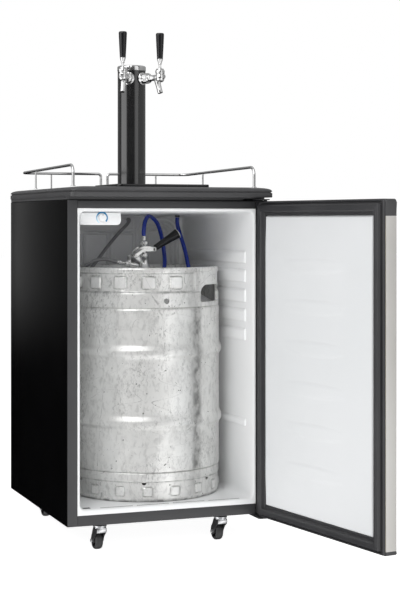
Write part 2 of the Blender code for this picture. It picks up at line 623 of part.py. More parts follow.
# ---------------------------------------------------------------- keg and coupler
def build_keg():
    """Half-barrel keg: one hollow vessel, open at the neck, with two hand holes."""
    z = KEG_Z
    ribs = [point for low in (0.183, 0.362)
            for point in ((KEG_R, low), (KEG_RIB_R, low + 0.017),
                          (KEG_RIB_R, low + 0.029), (KEG_R, low + 0.039))]
    outer = [(0, 0.040), (0.110, 0.049), (0.1865, 0.086), (0.190, 0.080),
             (0.190, 0.004), (0.1925, 0.0), (0.1965, 0.0025),
             (CHIME_R, 0.012), (CHIME_R, 0.047), (0.199, 0.051), (KEG_R, 0.076),
             *ribs, (KEG_R, 0.486), (0.199, 0.491), (CHIME_R, 0.534),
             (CHIME_R, 0.588), (0.1945, KEG_H), (0.1905, KEG_H - 0.002), (0.190, 0.500),
             (0.186, 0.498), (0.100, 0.543), (0.0335, 0.554), (0.0335, 0.564),
             (0.0285, 0.564)]
    inner = [(0.0285, 0.549), (0.100, 0.538), (0.184, 0.493), (0.1975, 0.480),
             (0.1975, 0.090), (0.186, 0.090), (0.110, 0.054), (0, 0.045)]
    profile = [(r, h + z) for r, h in outer + inner]
    keg = add("keg_body", turned(profile, 28, (KEG_X, KEG_Y, 0)), KEG_STEEL, root)
    for angle in HAND_HOLES:
        out = Vector((math.cos(angle), math.sin(angle), 0))
        side = Vector((-math.sin(angle), math.cos(angle), 0))
        outline = [(-0.055, 0.5035), (0.055, 0.5035), (0.055, 0.522), (0.042, 0.541),
                   (0.022, 0.548), (-0.022, 0.548), (-0.042, 0.541), (-0.055, 0.522)]
        loops = [[Vector((KEG_X, KEG_Y, z)) + out * r + side * a + Vector((0, 0, h))
                  for a, h in outline] for r in (0.180, 0.22)]
        cut(keg, loft(loops))
    add("keg_valve", turned([(0, 0.530), (0.020, 0.530), (0.0275, 0.545), (0.0275, 0.5655),
                             (0.0335, 0.5655), (0.0335, 0.570), (0.0245, 0.570),
                             (0.0245, 0.562), (0.012, 0.562), (0.010, 0.566), (0, 0.566)],
                            20, (KEG_X, KEG_Y, z)), STEEL, root)


def build_coupler():
    """Lever keg coupler: body with gas tail, yoke handle, sliding probe and relief ring."""
    seat = KEG_Z + 0.5706
    x, y = KEG_X, KEG_Y
    body = add("coupler_body",
               turned([(0.0083, seat), (0.0325, seat), (0.0325, seat + 0.010),
                       (0.0285, seat + 0.013), (0.0225, seat + 0.015),
                       (0.0205, seat + 0.021), (0.0150, seat + 0.027),
                       (0.0120, seat + 0.030), (0.0120, 0.668), (0.0083, 0.668),
                       (0.0083, seat)], 16, (x, y, 0)), CHROME, root)
    ear = [(0.2425, 0.652), (0.2425, 0.662), (0.2460, 0.6665), (0.2550, 0.6665),
           (0.2680, 0.655), (0.2680, 0.628), (0.2600, 0.628)]
    union(body, extrude_outline(ear, 0.016, "Y", y - 0.008),
          rod((0.250, y - 0.019, 0.660), (0.250, y + 0.019, 0.660), 0.003))
    tail = [(0.258, 0.2283, 0.634), (0.197, 0.215, 0.646)]
    union(body, rod(tail[0], Vector(tail[0]).lerp(Vector(tail[1]), 0.62), 0.0070),
          rod(tail[0], tail[1], 0.0040),
          rod((0.234, 0.2232, 0.638), (0.234, 0.2232, 0.6500), 0.0052))
    add("relief_valve", turned([(0, 0.6503), (0.0048, 0.6503), (0.0048, 0.6585),
                                (0.0062, 0.6600), (0.0062, 0.6625), (0.0030, 0.6640),
                                (0, 0.6640)], 12, (0.234, 0.2232, 0)), CHROME, root)
    pivot = empty("coupler_axis", root, (0.250, y, 0.660))
    arch = [(-0.0075, -0.004), (-0.0075, 0.004), (-0.002, 0.0085), (0.006, 0.0190),
            (0.018, 0.0255), (0.034, 0.0270), (0.048, 0.0240), (0.0545, 0.0230),
            (0.0545, 0.0120), (0.047, 0.0110), (0.036, 0.0145), (0.022, 0.0140),
            (0.013, 0.0090), (0.006, -0.002), (0.002, -0.0060)]
    handle = add("coupler_handle", extrude_outline(arch, 0.006, "Y", 0.0125), CHROME, pivot)
    start = Vector((0.053, 0, 0.0172))
    slope = Vector((math.cos(math.radians(31)), 0, math.sin(math.radians(31))))
    union(handle, extrude_outline(arch, 0.006, "Y", -0.0185),
          box(0.047, 0.0575, -0.0185, 0.0185, 0.0115, 0.0236),
          rod(start, start + slope * 0.024, 0.0050))
    cut(handle, rod((0, -0.03, 0), (0, 0.03, 0), 0.0036))
    lean = Matrix.Rotation(math.radians(90 - 31), 4, "Y")
    grip_start = start + slope * 0.0080
    grip = turned([(0, 0.019), (0.0054, 0.019), (0.0054, 0), (0.0078, 0), (0.0085, 0.008),
                   (0.0115, 0.050), (0.0132, 0.070), (0.0132, 0.073), (0.0110, 0.0755),
                   (0, 0.0755)], 16)
    bmesh.ops.transform(grip, matrix=Matrix.Translation(grip_start) @ lean, verts=grip.verts)
    add("coupler_grip", grip, BLACK_PLASTIC, pivot)
    probe = turned([(0, 0.628), (0.0070, 0.628), (0.0070, 0.6900), (0.0120, 0.6900),
                    (0.0120, 0.6990), (0.0090, 0.7005), (0.0065, 0.7015),
                    (0.0065, 0.7125), (0, 0.7125)], 16, (x, y, 0))
    add("coupler_probe", probe, CHROME, root)


# ---------------------------------------------------------------- free lines
BEER_ROUTE = [(0.2780, 0.2320, 0.7133), (0.2780, 0.2320, 0.7250), (0.2812, 0.2362, 0.7440),
              (0.2905, 0.2478, 0.7595), (0.3041, 0.2650, 0.7660), (0.3214, 0.2801, 0.7600),
              (0.3370, 0.2862, 0.7430), (0.3489, 0.2908, 0.7115), (0.3561, 0.2929, 0.6760),
              (0.3595, 0.2949, 0.6400), (0.3562, 0.3000, 0.6080), (0.3445, 0.3150, 0.5890),
              (0.3270, 0.3350, 0.5836), (0.2960, 0.3540, 0.5788), (0.2540, 0.3620, 0.5750),
              (0.2090, 0.3490, 0.5745), (0.1710, 0.3140, 0.5740), (0.1490, 0.2640, 0.5740),
              (0.1480, 0.2120, 0.5750), (0.1680, 0.1620, 0.5760), (0.2040, 0.1230, 0.5760),
              (0.2540, 0.1020, 0.5755), (0.3060, 0.1020, 0.5755), (0.3540, 0.1240, 0.5755),
              (0.3920, 0.1620, 0.5755), (0.4140, 0.2120, 0.5790), (0.4240, 0.2600, 0.5970),
              (0.4280, 0.2940, 0.6300), (0.4280, 0.3190, 0.6700), (0.4240, 0.3385, 0.7060),
              (0.4185, 0.3500, 0.7350), (0.4170, 0.3520, 0.7500), (0.4170, 0.3520, 0.7632)]
GAS_ROUTE = [(0.1967, 0.2149, 0.6461), (0.1800, 0.2115, 0.6495), (0.1560, 0.2080, 0.6530),
             (0.1330, 0.2105, 0.6480), (0.1140, 0.2240, 0.6350), (0.1030, 0.2480, 0.6190),
             (0.1050, 0.2790, 0.6060), (0.1190, 0.3110, 0.6000), (0.1430, 0.3420, 0.6050),
             (0.1750, 0.3690, 0.6270), (0.2080, 0.3890, 0.6600), (0.2400, 0.4050, 0.6930),
             (0.2690, 0.4195, 0.7200), (0.2920, 0.4330, 0.7385), (0.3060, 0.4460, 0.7500),
             (0.3125, 0.4590, 0.7558), (0.3140, 0.4690, 0.7570), (0.3140, 0.4786, 0.7570)]


def build_gas_bulkhead():
    """Through-wall gas fitting: inner barb, long body, outer nut and barb."""
    y = 0.4793
    add("gas_bulkhead",
        turned([(0, 0), (0.0042, 0), (0.0042, 0.0042), (0.0065, 0.0046), (0.0065, 0.0990),
                (0.0110, 0.0990), (0.0110, 0.1060), (0.0050, 0.1070), (0.0042, 0.1180),
                (0, 0.1180)], 14, (GAS_X, y, GAS_Z), "Y"), ZINC, root)


# ---------------------------------------------------------------- drip tray
def build_drip_tray():
    """Pan that hangs in the worktop's pocket by its rim, and the lift-off grate."""
    rim0 = TOP_Z1 + GAP
    rim1 = TOP_Z1 + 0.0070
    floor = TOP_Z1 - TRAY_DEPTH
    x0, x1, y0, y1 = TRAY_X0, TRAY_X1, TRAY_Y0, TRAY_Y1
    tray = add("drip_tray", loft([rounded_rectangle(x0, x1, y0, y1, rim0, 0.014),
                                  rounded_rectangle(x0, x1, y0, y1, rim1 - 0.001, 0.014),
                                  rounded_rectangle(x0 + 0.001, x1 - 0.001, y0 + 0.001,
                                                    y1 - 0.001, rim1, 0.013)]),
               BLACK_PLASTIC, root)
    union(tray, loft([rounded_rectangle(x0 + s, x1 - s, y0 + s, y1 - s, z, 0.010)
                      for s, z in ((0.013, floor), (0.011, floor + 0.002),
                                   (0.011, rim0 + 0.002))]))
    cut(tray, loft([rounded_rectangle(x0 + s, x1 - s, y0 + s, y1 - s, z, 0.008)
                    for s, z in ((0.015, floor + 0.002), (0.013, floor + 0.004),
                                 (0.013, rim0 + 0.0015))]),
        loft([rounded_rectangle(x0 + 0.005, x1 - 0.005, y0 + 0.005, y1 - 0.005, z, 0.010)
              for z in (rim0 + 0.0015, rim1 + 0.01)]))
    low, high = rim0 + 0.0015 + GAP, rim0 + 0.0045
    edge = 0.0056
    grate = add("drip_grate",
                loft([rounded_rectangle(x0 + edge, x1 - edge, y0 + edge, y1 - edge, z, 0.0095)
                      for z in (low, high)]), BLACK_PLASTIC, root)
    slots, pitch = 9, 0.0235
    for i in range(slots):
        x = (x0 + x1) / 2 + (i - (slots - 1) / 2) * pitch
        cut(grate, box(x - 0.0065, x + 0.0065, y0 + 0.022, y1 - 0.022, low - 0.01,
                       high + 0.01))


# ---------------------------------------------------------------- door
def build_door():
    """Door in its closed place, hung from an empty on the hinge axis that is turned open."""
    hinge = empty("door_axis", root, (HINGE_X, HINGE_Y, 0), DOOR_OPEN)

    def at(x0, x1, y0, y1, z0, z1, bevel=0.0, segments=1):
        return box(x0 - HINGE_X, x1 - HINGE_X, y0 - HINGE_Y, y1 - HINGE_Y, z0, z1,
                   bevel, segments)

    front, back = -DOOR_T - DOOR_GASKET, -DOOR_GASKET
    cap_z = DOOR_Z1 - DOOR_CAP_H
    foot_z = DOOR_Z0 + 0.009
    inner = back - 0.0022
    skin = add("door_skin", at(0, CAB_W, front, inner, foot_z + GAP, cap_z - GAP),
               STEEL, hinge)
    cut(skin, at(0.0012, CAB_W - 0.0012, front + 0.0012, 0, -0.1, 0.9))
    for name, z0, z1 in (("door_top_cap", cap_z, DOOR_Z1), ("door_bottom_cap", DOOR_Z0, foot_z)):
        cap = add(name, at(0, CAB_W, front, inner, z0, z1, 0.002, 2), BLACK_PLASTIC, hinge)
        hole = (z0 - 0.001, z0 + 0.0075) if name == "door_bottom_cap" else (z1 - 0.016, z1 + 0.01)
        top_z = DOOR_Z0 + 0.02 if name == "door_bottom_cap" else hole[1]
        cut(cap, rod((0, 0, hole[0]), (0, 0, top_z), 0.0046, steps=20))
        if name == "door_top_cap":
            cut(cap, at(0.060, 0.440, front + 0.008, inner - 0.008, z1 - 0.016, z1 + 0.01))
    foam = add("door_foam", at(0.0015, CAB_W - 0.0015, front + 0.0015, inner - GAP,
                               foot_z + GAP, cap_z - GAP), FOAM, hinge)
    cut(foam, rod((0, 0, -0.02), (0, 0, 0.020), 0.0046, steps=20))
    liner = add("door_liner", at(0.0005, CAB_W - 0.0005, inner + GAP, back,
                                 DOOR_Z0 + 0.0005, DOOR_Z1 - 0.0005), WHITE_PLASTIC, hinge)
    field = (0.0371 + 0.0005, CAB_W - 0.0396 - 0.0005, DOOR_Z0 + 0.0343 + 0.0005,
             DOOR_Z1 - 0.0361 - 0.0005)
    rise = [rectangle_y(y - HINGE_Y, field[0] + s - HINGE_X, field[1] - s - HINGE_X,
                        field[2] + s, field[3] - s)
            for y, s in ((back - 0.001, 0.0), (back + 0.005, 0.0), (back + 0.0085, 0.004))]
    union(liner, loft(rise))
    gasket = add("door_gasket", at(0.003, HINGE_X + 0.002, back + GAP, -GAP, DOOR_Z0 + 0.003,
                                   DOOR_Z1 - 0.003), RUBBER, hinge)
    cut(gasket, at(0.0371, CAB_W - 0.0396, -0.1, 0.1, DOOR_Z0 + 0.0343, DOOR_Z1 - 0.0361))


# ---------------------------------------------------------------- casters
def build_casters():
    """Swivel fork with its axle and one wheel at each corner."""
    top = -0.003 - GAP
    axle = WHEEL_R - CASTER_H
    half = WHEEL_W / 2 + 0.0012
    for name, (x, y) in CASTERS.items():
        pivot = empty("caster_axis_" + name, root, (x, y, 0))
        fork = add("caster_fork_" + name,
                   rod((0, 0, top), (0, 0, top - 0.007), 0.0170, 0.0150, 16), ZINC, pivot)
        side = [(-0.013, top - 0.006), (0.013, top - 0.006), (TRAIL + 0.008, axle + 0.006),
                (TRAIL + 0.008, axle - 0.006), (TRAIL + 0.002, axle - 0.009),
                (TRAIL - 0.006, axle - 0.007), (-0.010, top - 0.018), (-0.013, top - 0.013)]
        union(fork, extrude_outline(side, 0.002, "X", half),
              extrude_outline(side, 0.002, "X", -half - 0.002),
              box(-half - 0.001, half + 0.001, -0.013, 0.0125, top - 0.0085, top - 0.0055),
              rod((-half - 0.003, TRAIL, axle), (half + 0.003, TRAIL, axle), 0.0030,
                  steps=10))
        hub = empty("wheel_axis_" + name, pivot, (0, TRAIL, axle))
        w, r = WHEEL_W / 2, WHEEL_R
        wheel = turned([(0.0034, -w), (0.0190, -w), (r - 0.0012, -w + 0.0015),
                        (r, -w + 0.006), (r, w - 0.006), (r - 0.0012, w - 0.0015),
                        (0.0190, w), (0.0034, w), (0.0034, -w)], 18, (0, 0, 0), "X")
        add("caster_wheel_" + name, wheel, RUBBER, hub)


build_shell()
build_front_rails()
build_liner()
build_foam()
build_base()
build_back_panel()
build_condenser()
build_compressor()
build_power_gland()
build_worktop()
build_guard_rails()
build_hinge_brackets()
build_evaporator()
build_thermostat()
build_tower()
build_tap(-1, "left")
build_tap(1, "right")
build_lines_in_tower()
build_keg()
build_coupler()
hose("beer_line", BEER_ROUTE, HOSE_R, BLUE_HOSE, root, 56)
hose("gas_line", GAS_ROUTE, GAS_HOSE_R, GREY_HOSE, root, 26)
build_gas_bulkhead()
build_drip_tray()
build_door()
build_casters()
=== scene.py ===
import json
import math

import bmesh
import bpy
from mathutils import Matrix, Vector, noise


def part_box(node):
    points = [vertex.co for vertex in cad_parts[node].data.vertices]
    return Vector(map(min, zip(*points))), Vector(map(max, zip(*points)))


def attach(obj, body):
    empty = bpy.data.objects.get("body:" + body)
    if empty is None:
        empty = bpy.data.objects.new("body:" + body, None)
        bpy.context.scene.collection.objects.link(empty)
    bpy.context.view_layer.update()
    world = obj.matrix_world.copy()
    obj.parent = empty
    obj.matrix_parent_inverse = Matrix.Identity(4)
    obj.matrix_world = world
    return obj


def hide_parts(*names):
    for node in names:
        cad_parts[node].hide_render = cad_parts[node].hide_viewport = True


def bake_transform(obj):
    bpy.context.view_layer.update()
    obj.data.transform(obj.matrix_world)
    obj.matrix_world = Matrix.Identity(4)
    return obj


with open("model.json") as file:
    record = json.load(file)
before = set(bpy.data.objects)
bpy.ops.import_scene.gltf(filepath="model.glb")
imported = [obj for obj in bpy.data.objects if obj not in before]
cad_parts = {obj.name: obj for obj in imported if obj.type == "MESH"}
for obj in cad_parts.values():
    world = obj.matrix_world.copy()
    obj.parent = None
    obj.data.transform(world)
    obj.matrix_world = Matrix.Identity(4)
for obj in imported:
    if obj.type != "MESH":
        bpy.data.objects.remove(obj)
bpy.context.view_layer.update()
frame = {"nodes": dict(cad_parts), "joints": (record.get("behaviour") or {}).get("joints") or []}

# ---------------------------------------------------------------- places, from the frame
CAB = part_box("outer_shell")[0]          # the cabinet's front-left-bottom corner
HOME = Matrix.Translation(CAB)
JOINTS = {joint["name"]: joint for joint in frame["joints"]}


def span(node, place=HOME):
    """Lowest and highest corner of a CAD node in a local frame."""
    back = place.inverted()
    points = [back @ vertex.co for vertex in frame["nodes"][node].data.vertices]
    low = Vector([min(p[i] for p in points) for i in range(3)])
    high = Vector([max(p[i] for p in points) for i in range(3)])
    return low, high


def joint_place(name, turn=0.0):
    """Frame on a joint's axis, turned about Z."""
    return Matrix.Translation(JOINTS[name]["pos_m"]) @ Matrix.Rotation(turn, 4, "Z")


CAB_W, CAB_D, CAB_H = span("outer_shell")[1]
TOWER = (span("tower_column")[0] + span("tower_column")[1]) / 2
KEG = (span("keg_valve")[0] + span("keg_valve")[1]) / 2
KEG_Z = span("keg_body")[0].z
DOOR = joint_place("door_hinge", -math.radians(JOINTS["door_hinge"]["range_deg"][0]))
DOOR = DOOR @ Matrix.Translation(Vector((0, 0, CAB.z)) - Vector((0, 0, DOOR.translation.z)))

# ---------------------------------------------------------------- camera and light
LENS, SHIFT_X, SHIFT_Y = 90.56, 0.0271, -0.1273
VIEW_TURN = math.radians(-20.36)
EYE = Vector((-1.007, -3.538, 0.752))    # in the cabinet's frame


def build_camera():
    data = bpy.data.cameras.new("camera")
    data.lens = LENS
    data.sensor_width = 36.0
    data.shift_x, data.shift_y = SHIFT_X, SHIFT_Y
    made = bpy.data.objects.new("camera", data)
    made.location = CAB + EYE
    made.rotation_euler = (math.radians(90), 0, VIEW_TURN)
    bpy.context.scene.collection.objects.link(made)
    bpy.context.scene.camera = made


def softbox(name, place, target, size, power):
    """Soft area light; what shines in gloss and chrome is the studio built into the world."""
    data = bpy.data.lights.new(name, "AREA")
    data.shape = "RECTANGLE"
    data.size, data.size_y = size
    data.energy = power
    made = bpy.data.objects.new(name, data)
    made.location = place
    aim = Vector(target) - Vector(place)
    made.rotation_euler = aim.to_track_quat("-Z", "Y").to_euler()
    made.visible_glossy = False
    bpy.context.scene.collection.objects.link(made)


def wire_math(tree, operation, first, second):
    """Math node; each side is a number or a socket."""
    node = tree.nodes.new("ShaderNodeMath")
    node.operation = operation
    for socket, side in zip(node.inputs, (first, second)):
        if isinstance(side, (int, float)):
            socket.default_value = side
        else:
            tree.links.new(side, socket)
    return node.outputs[0]


def wire_panel(tree, way, bearing, half, soft):
    """1 where a level direction lies within a bearing's half width, with a soft edge."""
    dot = tree.nodes.new("ShaderNodeVectorMath")
    dot.operation = "DOT_PRODUCT"
    tree.links.new(way, dot.inputs[0])
    a = math.radians(bearing)
    dot.inputs[1].default_value = (math.sin(a), -math.cos(a), 0)
    edge = tree.nodes.new("ShaderNodeMapRange")
    edge.interpolation_type = "SMOOTHSTEP"
    edge.inputs["From Min"].default_value = math.cos(math.radians(half + soft))
    edge.inputs["From Max"].default_value = math.cos(math.radians(half))
    tree.links.new(dot.outputs["Value"], edge.inputs["Value"])
    return edge.outputs["Result"]


# studio panels seen in gloss: bearing from straight ahead, half width, soft edge, strength
PANELS = ((-86, 20, 11, 1.65), (22, 9, 9, 0.8), (75, 36, 20, 0.30))
ROOM, ROOM_FRONT, ROOM_REAR, ROOM_HIGH = 0.015, 0.06, 0.22, 0.14
FLOOR_GLOW, CEILING = 0.62, 0.22
KEY_BEARING, KEY_HALF, KEY_SOFT, KEY_GLOW = -46, 18, 16, 2.2
DAYLIGHT = 0.10


def build_light():
    """White backdrop for the camera, studio panels for gloss, and soft boxes."""
    world = bpy.data.worlds.new("studio")
    bpy.context.scene.world = world
    world.use_nodes = True
    world.cycles.sampling_method = "NONE"
    tree = world.node_tree
    nodes, links = tree.nodes, tree.links
    nodes.clear()
    coords = nodes.new("ShaderNodeTexCoord")
    parts = nodes.new("ShaderNodeSeparateXYZ")
    links.new(coords.outputs["Generated"], parts.inputs[0])
    level = nodes.new("ShaderNodeVectorMath")
    level.operation = "MULTIPLY"
    level.inputs[1].default_value = (1, 1, 0)
    links.new(coords.outputs["Generated"], level.inputs[0])
    flat = nodes.new("ShaderNodeVectorMath")
    flat.operation = "NORMALIZE"
    links.new(level.outputs["Vector"], flat.inputs[0])
    way, height = flat.outputs["Vector"], parts.outputs["Z"]

    def ramp(low, high):
        node = nodes.new("ShaderNodeMapRange")
        node.interpolation_type = "SMOOTHSTEP"
        node.inputs["From Min"].default_value = low
        node.inputs["From Max"].default_value = high
        links.new(height, node.inputs["Value"])
        return node.outputs["Result"]
    front = wire_panel(tree, way, -5, 60, 60)
    total = wire_math(tree, "MULTIPLY", front, ROOM_FRONT)
    for bright, shade in ((ROOM, ramp(-0.16, 0.06)), (ROOM_HIGH, ramp(0.14, 0.50)),
                          (CEILING, ramp(0.5, 0.9))):
        total = wire_math(tree, "ADD", total, wire_math(tree, "MULTIPLY", shade, bright))
    rear = wire_math(tree, "MULTIPLY", wire_panel(tree, way, 180, 45, 30), ramp(-0.10, 0.005))
    total = wire_math(tree, "ADD", total, wire_math(tree, "MULTIPLY", rear, ROOM_REAR))
    wall = wire_math(tree, "SUBTRACT", 1.0, ramp(0.55, 0.85))
    for bearing, half, soft, strength in PANELS:
        panel = wire_math(tree, "MULTIPLY", wire_panel(tree, way, bearing, half, soft), wall)
        total = wire_math(tree, "ADD", total, wire_math(tree, "MULTIPLY", panel, strength))
    key = wire_math(tree, "MULTIPLY", wire_panel(tree, way, KEY_BEARING, KEY_HALF, KEY_SOFT),
                    wire_math(tree, "MULTIPLY", ramp(0.26, 0.40), KEY_GLOW))
    total = wire_math(tree, "ADD", total, key)
    below = wire_math(tree, "SUBTRACT", 1.0, ramp(-0.11, -0.02))
    below = wire_math(tree, "MULTIPLY", below, wire_panel(tree, way, -10, 50, 28))
    total = wire_math(tree, "ADD", total, wire_math(tree, "MULTIPLY", below, FLOOR_GLOW))

    rays = nodes.new("ShaderNodeLightPath")
    gloss = nodes.new("ShaderNodeBackground")
    links.new(total, gloss.inputs["Color"])
    soft = nodes.new("ShaderNodeBackground")
    soft.inputs["Color"].default_value = (DAYLIGHT, DAYLIGHT, DAYLIGHT, 1)
    backdrop = nodes.new("ShaderNodeBackground")
    backdrop.inputs["Color"].default_value = (1, 1, 1, 1)
    inside = nodes.new("ShaderNodeMixShader")
    links.new(rays.outputs["Is Glossy Ray"], inside.inputs["Fac"])
    links.new(soft.outputs["Background"], inside.inputs[1])
    links.new(gloss.outputs["Background"], inside.inputs[2])
    mix = nodes.new("ShaderNodeMixShader")
    links.new(rays.outputs["Is Camera Ray"], mix.inputs["Fac"])
    links.new(inside.outputs["Shader"], mix.inputs[1])
    links.new(backdrop.outputs["Background"], mix.inputs[2])
    out = nodes.new("ShaderNodeOutputWorld")
    links.new(mix.outputs["Shader"], out.inputs["Surface"])
    softbox("key_box", (-2.7, -2.9, 2.6), (0.0, -0.1, 0.55), (1.7, 1.7), 60)
    softbox("front_box", (-0.9, -4.2, 1.3), (0.0, -0.1, 0.6), (2.0, 2.0), 32)
    softbox("top_box", (0.0, -0.5, 3.4), (0.0, 0.0, 0.9), (2.0, 2.0), 52)


def build_floor():
    """Pale sweep that stays white away from the object and takes a faint shadow."""
    mesh = bpy.data.meshes.new("floor")
    reach = 30.0
    mesh.from_pydata([(-reach, -reach, 0), (reach, -reach, 0), (reach, reach, 0),
                      (-reach, reach, 0)], [], [(0, 1, 2, 3)])
    made = bpy.data.objects.new("floor", mesh)
    bpy.context.scene.collection.objects.link(made)
    paper = bpy.data.materials.new("floor_paper")
    paper.use_nodes = True
    shader = paper.node_tree.nodes["Principled BSDF"]
    shader.inputs["Base Color"].default_value = (0.85, 0.85, 0.85, 1)
    shader.inputs["Roughness"].default_value = 0.9
    shader.inputs["Specular IOR Level"].default_value = 0.1
    shader.inputs["Emission Color"].default_value = (1, 1, 1, 1)
    shader.inputs["Emission Strength"].default_value = 0.9
    mesh.materials.append(paper)
    made.visible_glossy = False


build_camera()
build_light()
build_floor()
bpy.context.scene.view_settings.view_transform = "Standard"


def wire_noise(tree, scale, detail, stretch=(1, 1, 1), distortion=0.0):
    """Noise over the object's own coordinates; returns its factor socket."""
    nodes, links = tree.nodes, tree.links
    coords = nodes.new("ShaderNodeTexCoord")
    mapping = nodes.new("ShaderNodeMapping")
    mapping.inputs["Scale"].default_value = stretch
    texture = nodes.new("ShaderNodeTexNoise")
    texture.inputs["Scale"].default_value = scale
    texture.inputs["Detail"].default_value = detail
    texture.inputs["Distortion"].default_value = distortion
    links.new(coords.outputs["Object"], mapping.inputs["Vector"])
    links.new(mapping.outputs["Vector"], texture.inputs["Vector"])
    return texture.outputs["Fac"]


def wire_range(tree, value, low, high, to_low, to_high):
    ranged = tree.nodes.new("ShaderNodeMapRange")
    for socket, number in (("From Min", low), ("From Max", high), ("To Min", to_low),
                           ("To Max", to_high)):
        ranged.inputs[socket].default_value = number
    tree.links.new(value, ranged.inputs["Value"])
    return ranged.outputs["Result"]


def wire_mix(tree, factor, first, second):
    """Colour mix; each side is a colour or a socket."""
    mix = tree.nodes.new("ShaderNodeMix")
    mix.data_type = "RGBA"
    tree.links.new(factor, mix.inputs["Factor"])
    for socket, side in ((mix.inputs[6], first), (mix.inputs[7], second)):
        if isinstance(side, tuple):
            socket.default_value = (*side, 1.0)
        else:
            tree.links.new(side, socket)
    return mix.outputs[2]


def wire_bump(tree, height, strength, distance, under=None):
    bump = tree.nodes.new("ShaderNodeBump")
    bump.inputs["Strength"].default_value = strength
    bump.inputs["Distance"].default_value = distance
    tree.links.new(height, bump.inputs["Height"])
    if under:
        tree.links.new(under, bump.inputs["Normal"])
    return bump.outputs["Normal"]


def new_material(name):
    made = bpy.data.materials.new(name)
    made.use_nodes = True
    return made, made.node_tree, made.node_tree.nodes["Principled BSDF"]


def surface(name, colour, tint, rough, metallic=0.0, spread=0.06, mottle=9.0,
            grain=900.0, depth=0.15, distance=0.0002, specular=0.5, coat=0.0,
            grain_stretch=(1, 1, 1)):
    """Surface whose colour and roughness drift, under a fine moulded or rolled grain."""
    made, tree, shader = new_material(name)
    drift = wire_noise(tree, mottle, 5.0)
    tree.links.new(wire_mix(tree, wire_range(tree, drift, 0.3, 0.7, 0.0, 1.0), colour, tint),
                   shader.inputs["Base Color"])
    tree.links.new(wire_range(tree, drift, 0.3, 0.7, rough - spread, rough + spread),
                   shader.inputs["Roughness"])
    fine = wire_noise(tree, grain, 2.0, grain_stretch)
    tree.links.new(wire_bump(tree, fine, depth, distance), shader.inputs["Normal"])
    shader.inputs["Metallic"].default_value = metallic
    shader.inputs["Specular IOR Level"].default_value = specular
    shader.inputs["Coat Weight"].default_value = coat
    return made


def wire_hairline(tree, field, half):
    """1 on the thin curves where a noise field crosses its middle."""
    off = wire_math(tree, "ABSOLUTE", wire_math(tree, "SUBTRACT", field, 0.5), 0.0)
    return wire_range(tree, off, half, 0.4 * half, 0.0, 1.0)


def keg_steel():
    """Stainless that has been knocked about: blotches, scuffs, scratches and dark specks."""
    made, tree, shader = new_material("worn_keg_steel")
    blotch = wire_noise(tree, 13.0, 8.0, (1, 1, 0.75), 0.5)
    fine = wire_noise(tree, 95.0, 7.0, (1, 1, 0.6), 0.5)
    zone = wire_noise(tree, 9.0, 4.0, (1, 1, 1.2))
    speck = wire_noise(tree, 130.0, 3.0)
    scuff = wire_noise(tree, 210.0, 4.0, (1, 1, 0.5), 1.0)
    line_a = wire_hairline(tree, wire_noise(tree, 11.0, 0.0, (1, 1, 0.16)), 0.0028)
    line_b = wire_hairline(tree, wire_noise(tree, 12.0, 0.0, (0.35, 0.35, 1.5)), 0.0026)
    base = wire_mix(tree, wire_range(tree, blotch, 0.34, 0.64, 0.0, 1.0),
                    (0.74, 0.74, 0.725), (0.88, 0.88, 0.865))
    base = wire_mix(tree, wire_range(tree, fine, 0.32, 0.50, 0.50, 0.0), base,
                    (0.50, 0.50, 0.49))
    worn = wire_range(tree, zone, 0.44, 0.60, 0.0, 1.0)
    rubbed = wire_math(tree, "MULTIPLY", wire_range(tree, scuff, 0.52, 0.70, 0.0, 0.60), worn)
    base = wire_mix(tree, rubbed, base, (0.24, 0.24, 0.235))
    lines = wire_math(tree, "MULTIPLY", wire_math(tree, "MAXIMUM", line_a, line_b),
                      wire_range(tree, fine, 0.44, 0.60, 0.0, 0.6))
    base = wire_mix(tree, lines, base, (0.26, 0.26, 0.255))
    base = wire_mix(tree, wire_range(tree, speck, 0.70, 0.74, 0.0, 0.9), base,
                    (0.06, 0.06, 0.055))
    # Per-vertex attribute: above 0 is dirt in grooves and along the wall's seam, plus painted
    # shadow along the keg's bottom edge; below 0 is a painted highlight on the raised squares.
    dirt_shade_and_highlight = tree.nodes.new("ShaderNodeAttribute")
    dirt_shade_and_highlight.attribute_name = "dirt_shade_and_highlight"
    # Painted highlight: near white where the attribute is below 0.
    base = wire_mix(tree, wire_range(tree, dirt_shade_and_highlight.outputs["Fac"], 0.0, -1.0, 0.0, 1.0), base,
                    (0.96, 0.96, 0.95))
    # Dirt and painted shadow: darker in patches where the attribute is above 0.
    patchy = wire_range(tree, wire_noise(tree, 60.0, 7.0, (1, 1, 0.7)), 0.42, 0.62, 0.30, 0.95)
    dirt_and_shade = wire_math(tree, "MAXIMUM", dirt_shade_and_highlight.outputs["Fac"], 0.0)
    base = wire_mix(tree, wire_math(tree, "MULTIPLY", dirt_and_shade, patchy), base,
                    (0.27, 0.27, 0.265))
    tree.links.new(base, shader.inputs["Base Color"])
    tree.links.new(wire_range(tree, blotch, 0.3, 0.7, 0.46, 0.32), shader.inputs["Roughness"])
    coarse = wire_bump(tree, blotch, 0.30, 0.002)
    tree.links.new(wire_bump(tree, scuff, 0.12, 0.0006, coarse), shader.inputs["Normal"])
    shader.inputs["Metallic"].default_value = 0.80
    return made


def dial_print():
    """Ink of the dial's arc, pale at its start and strong blue at its end."""
    made, tree, shader = new_material("dial_ink")
    along = tree.nodes.new("ShaderNodeAttribute")
    along.attribute_name = "along"
    grainy = wire_noise(tree, 700.0, 2.0)
    ink = wire_mix(tree, along.outputs["Fac"], (0.55, 0.76, 0.86), (0.004, 0.20, 0.42))
    tree.links.new(ink, shader.inputs["Base Color"])
    tree.links.new(wire_range(tree, grainy, 0.3, 0.7, 0.4, 0.5), shader.inputs["Roughness"])
    return made


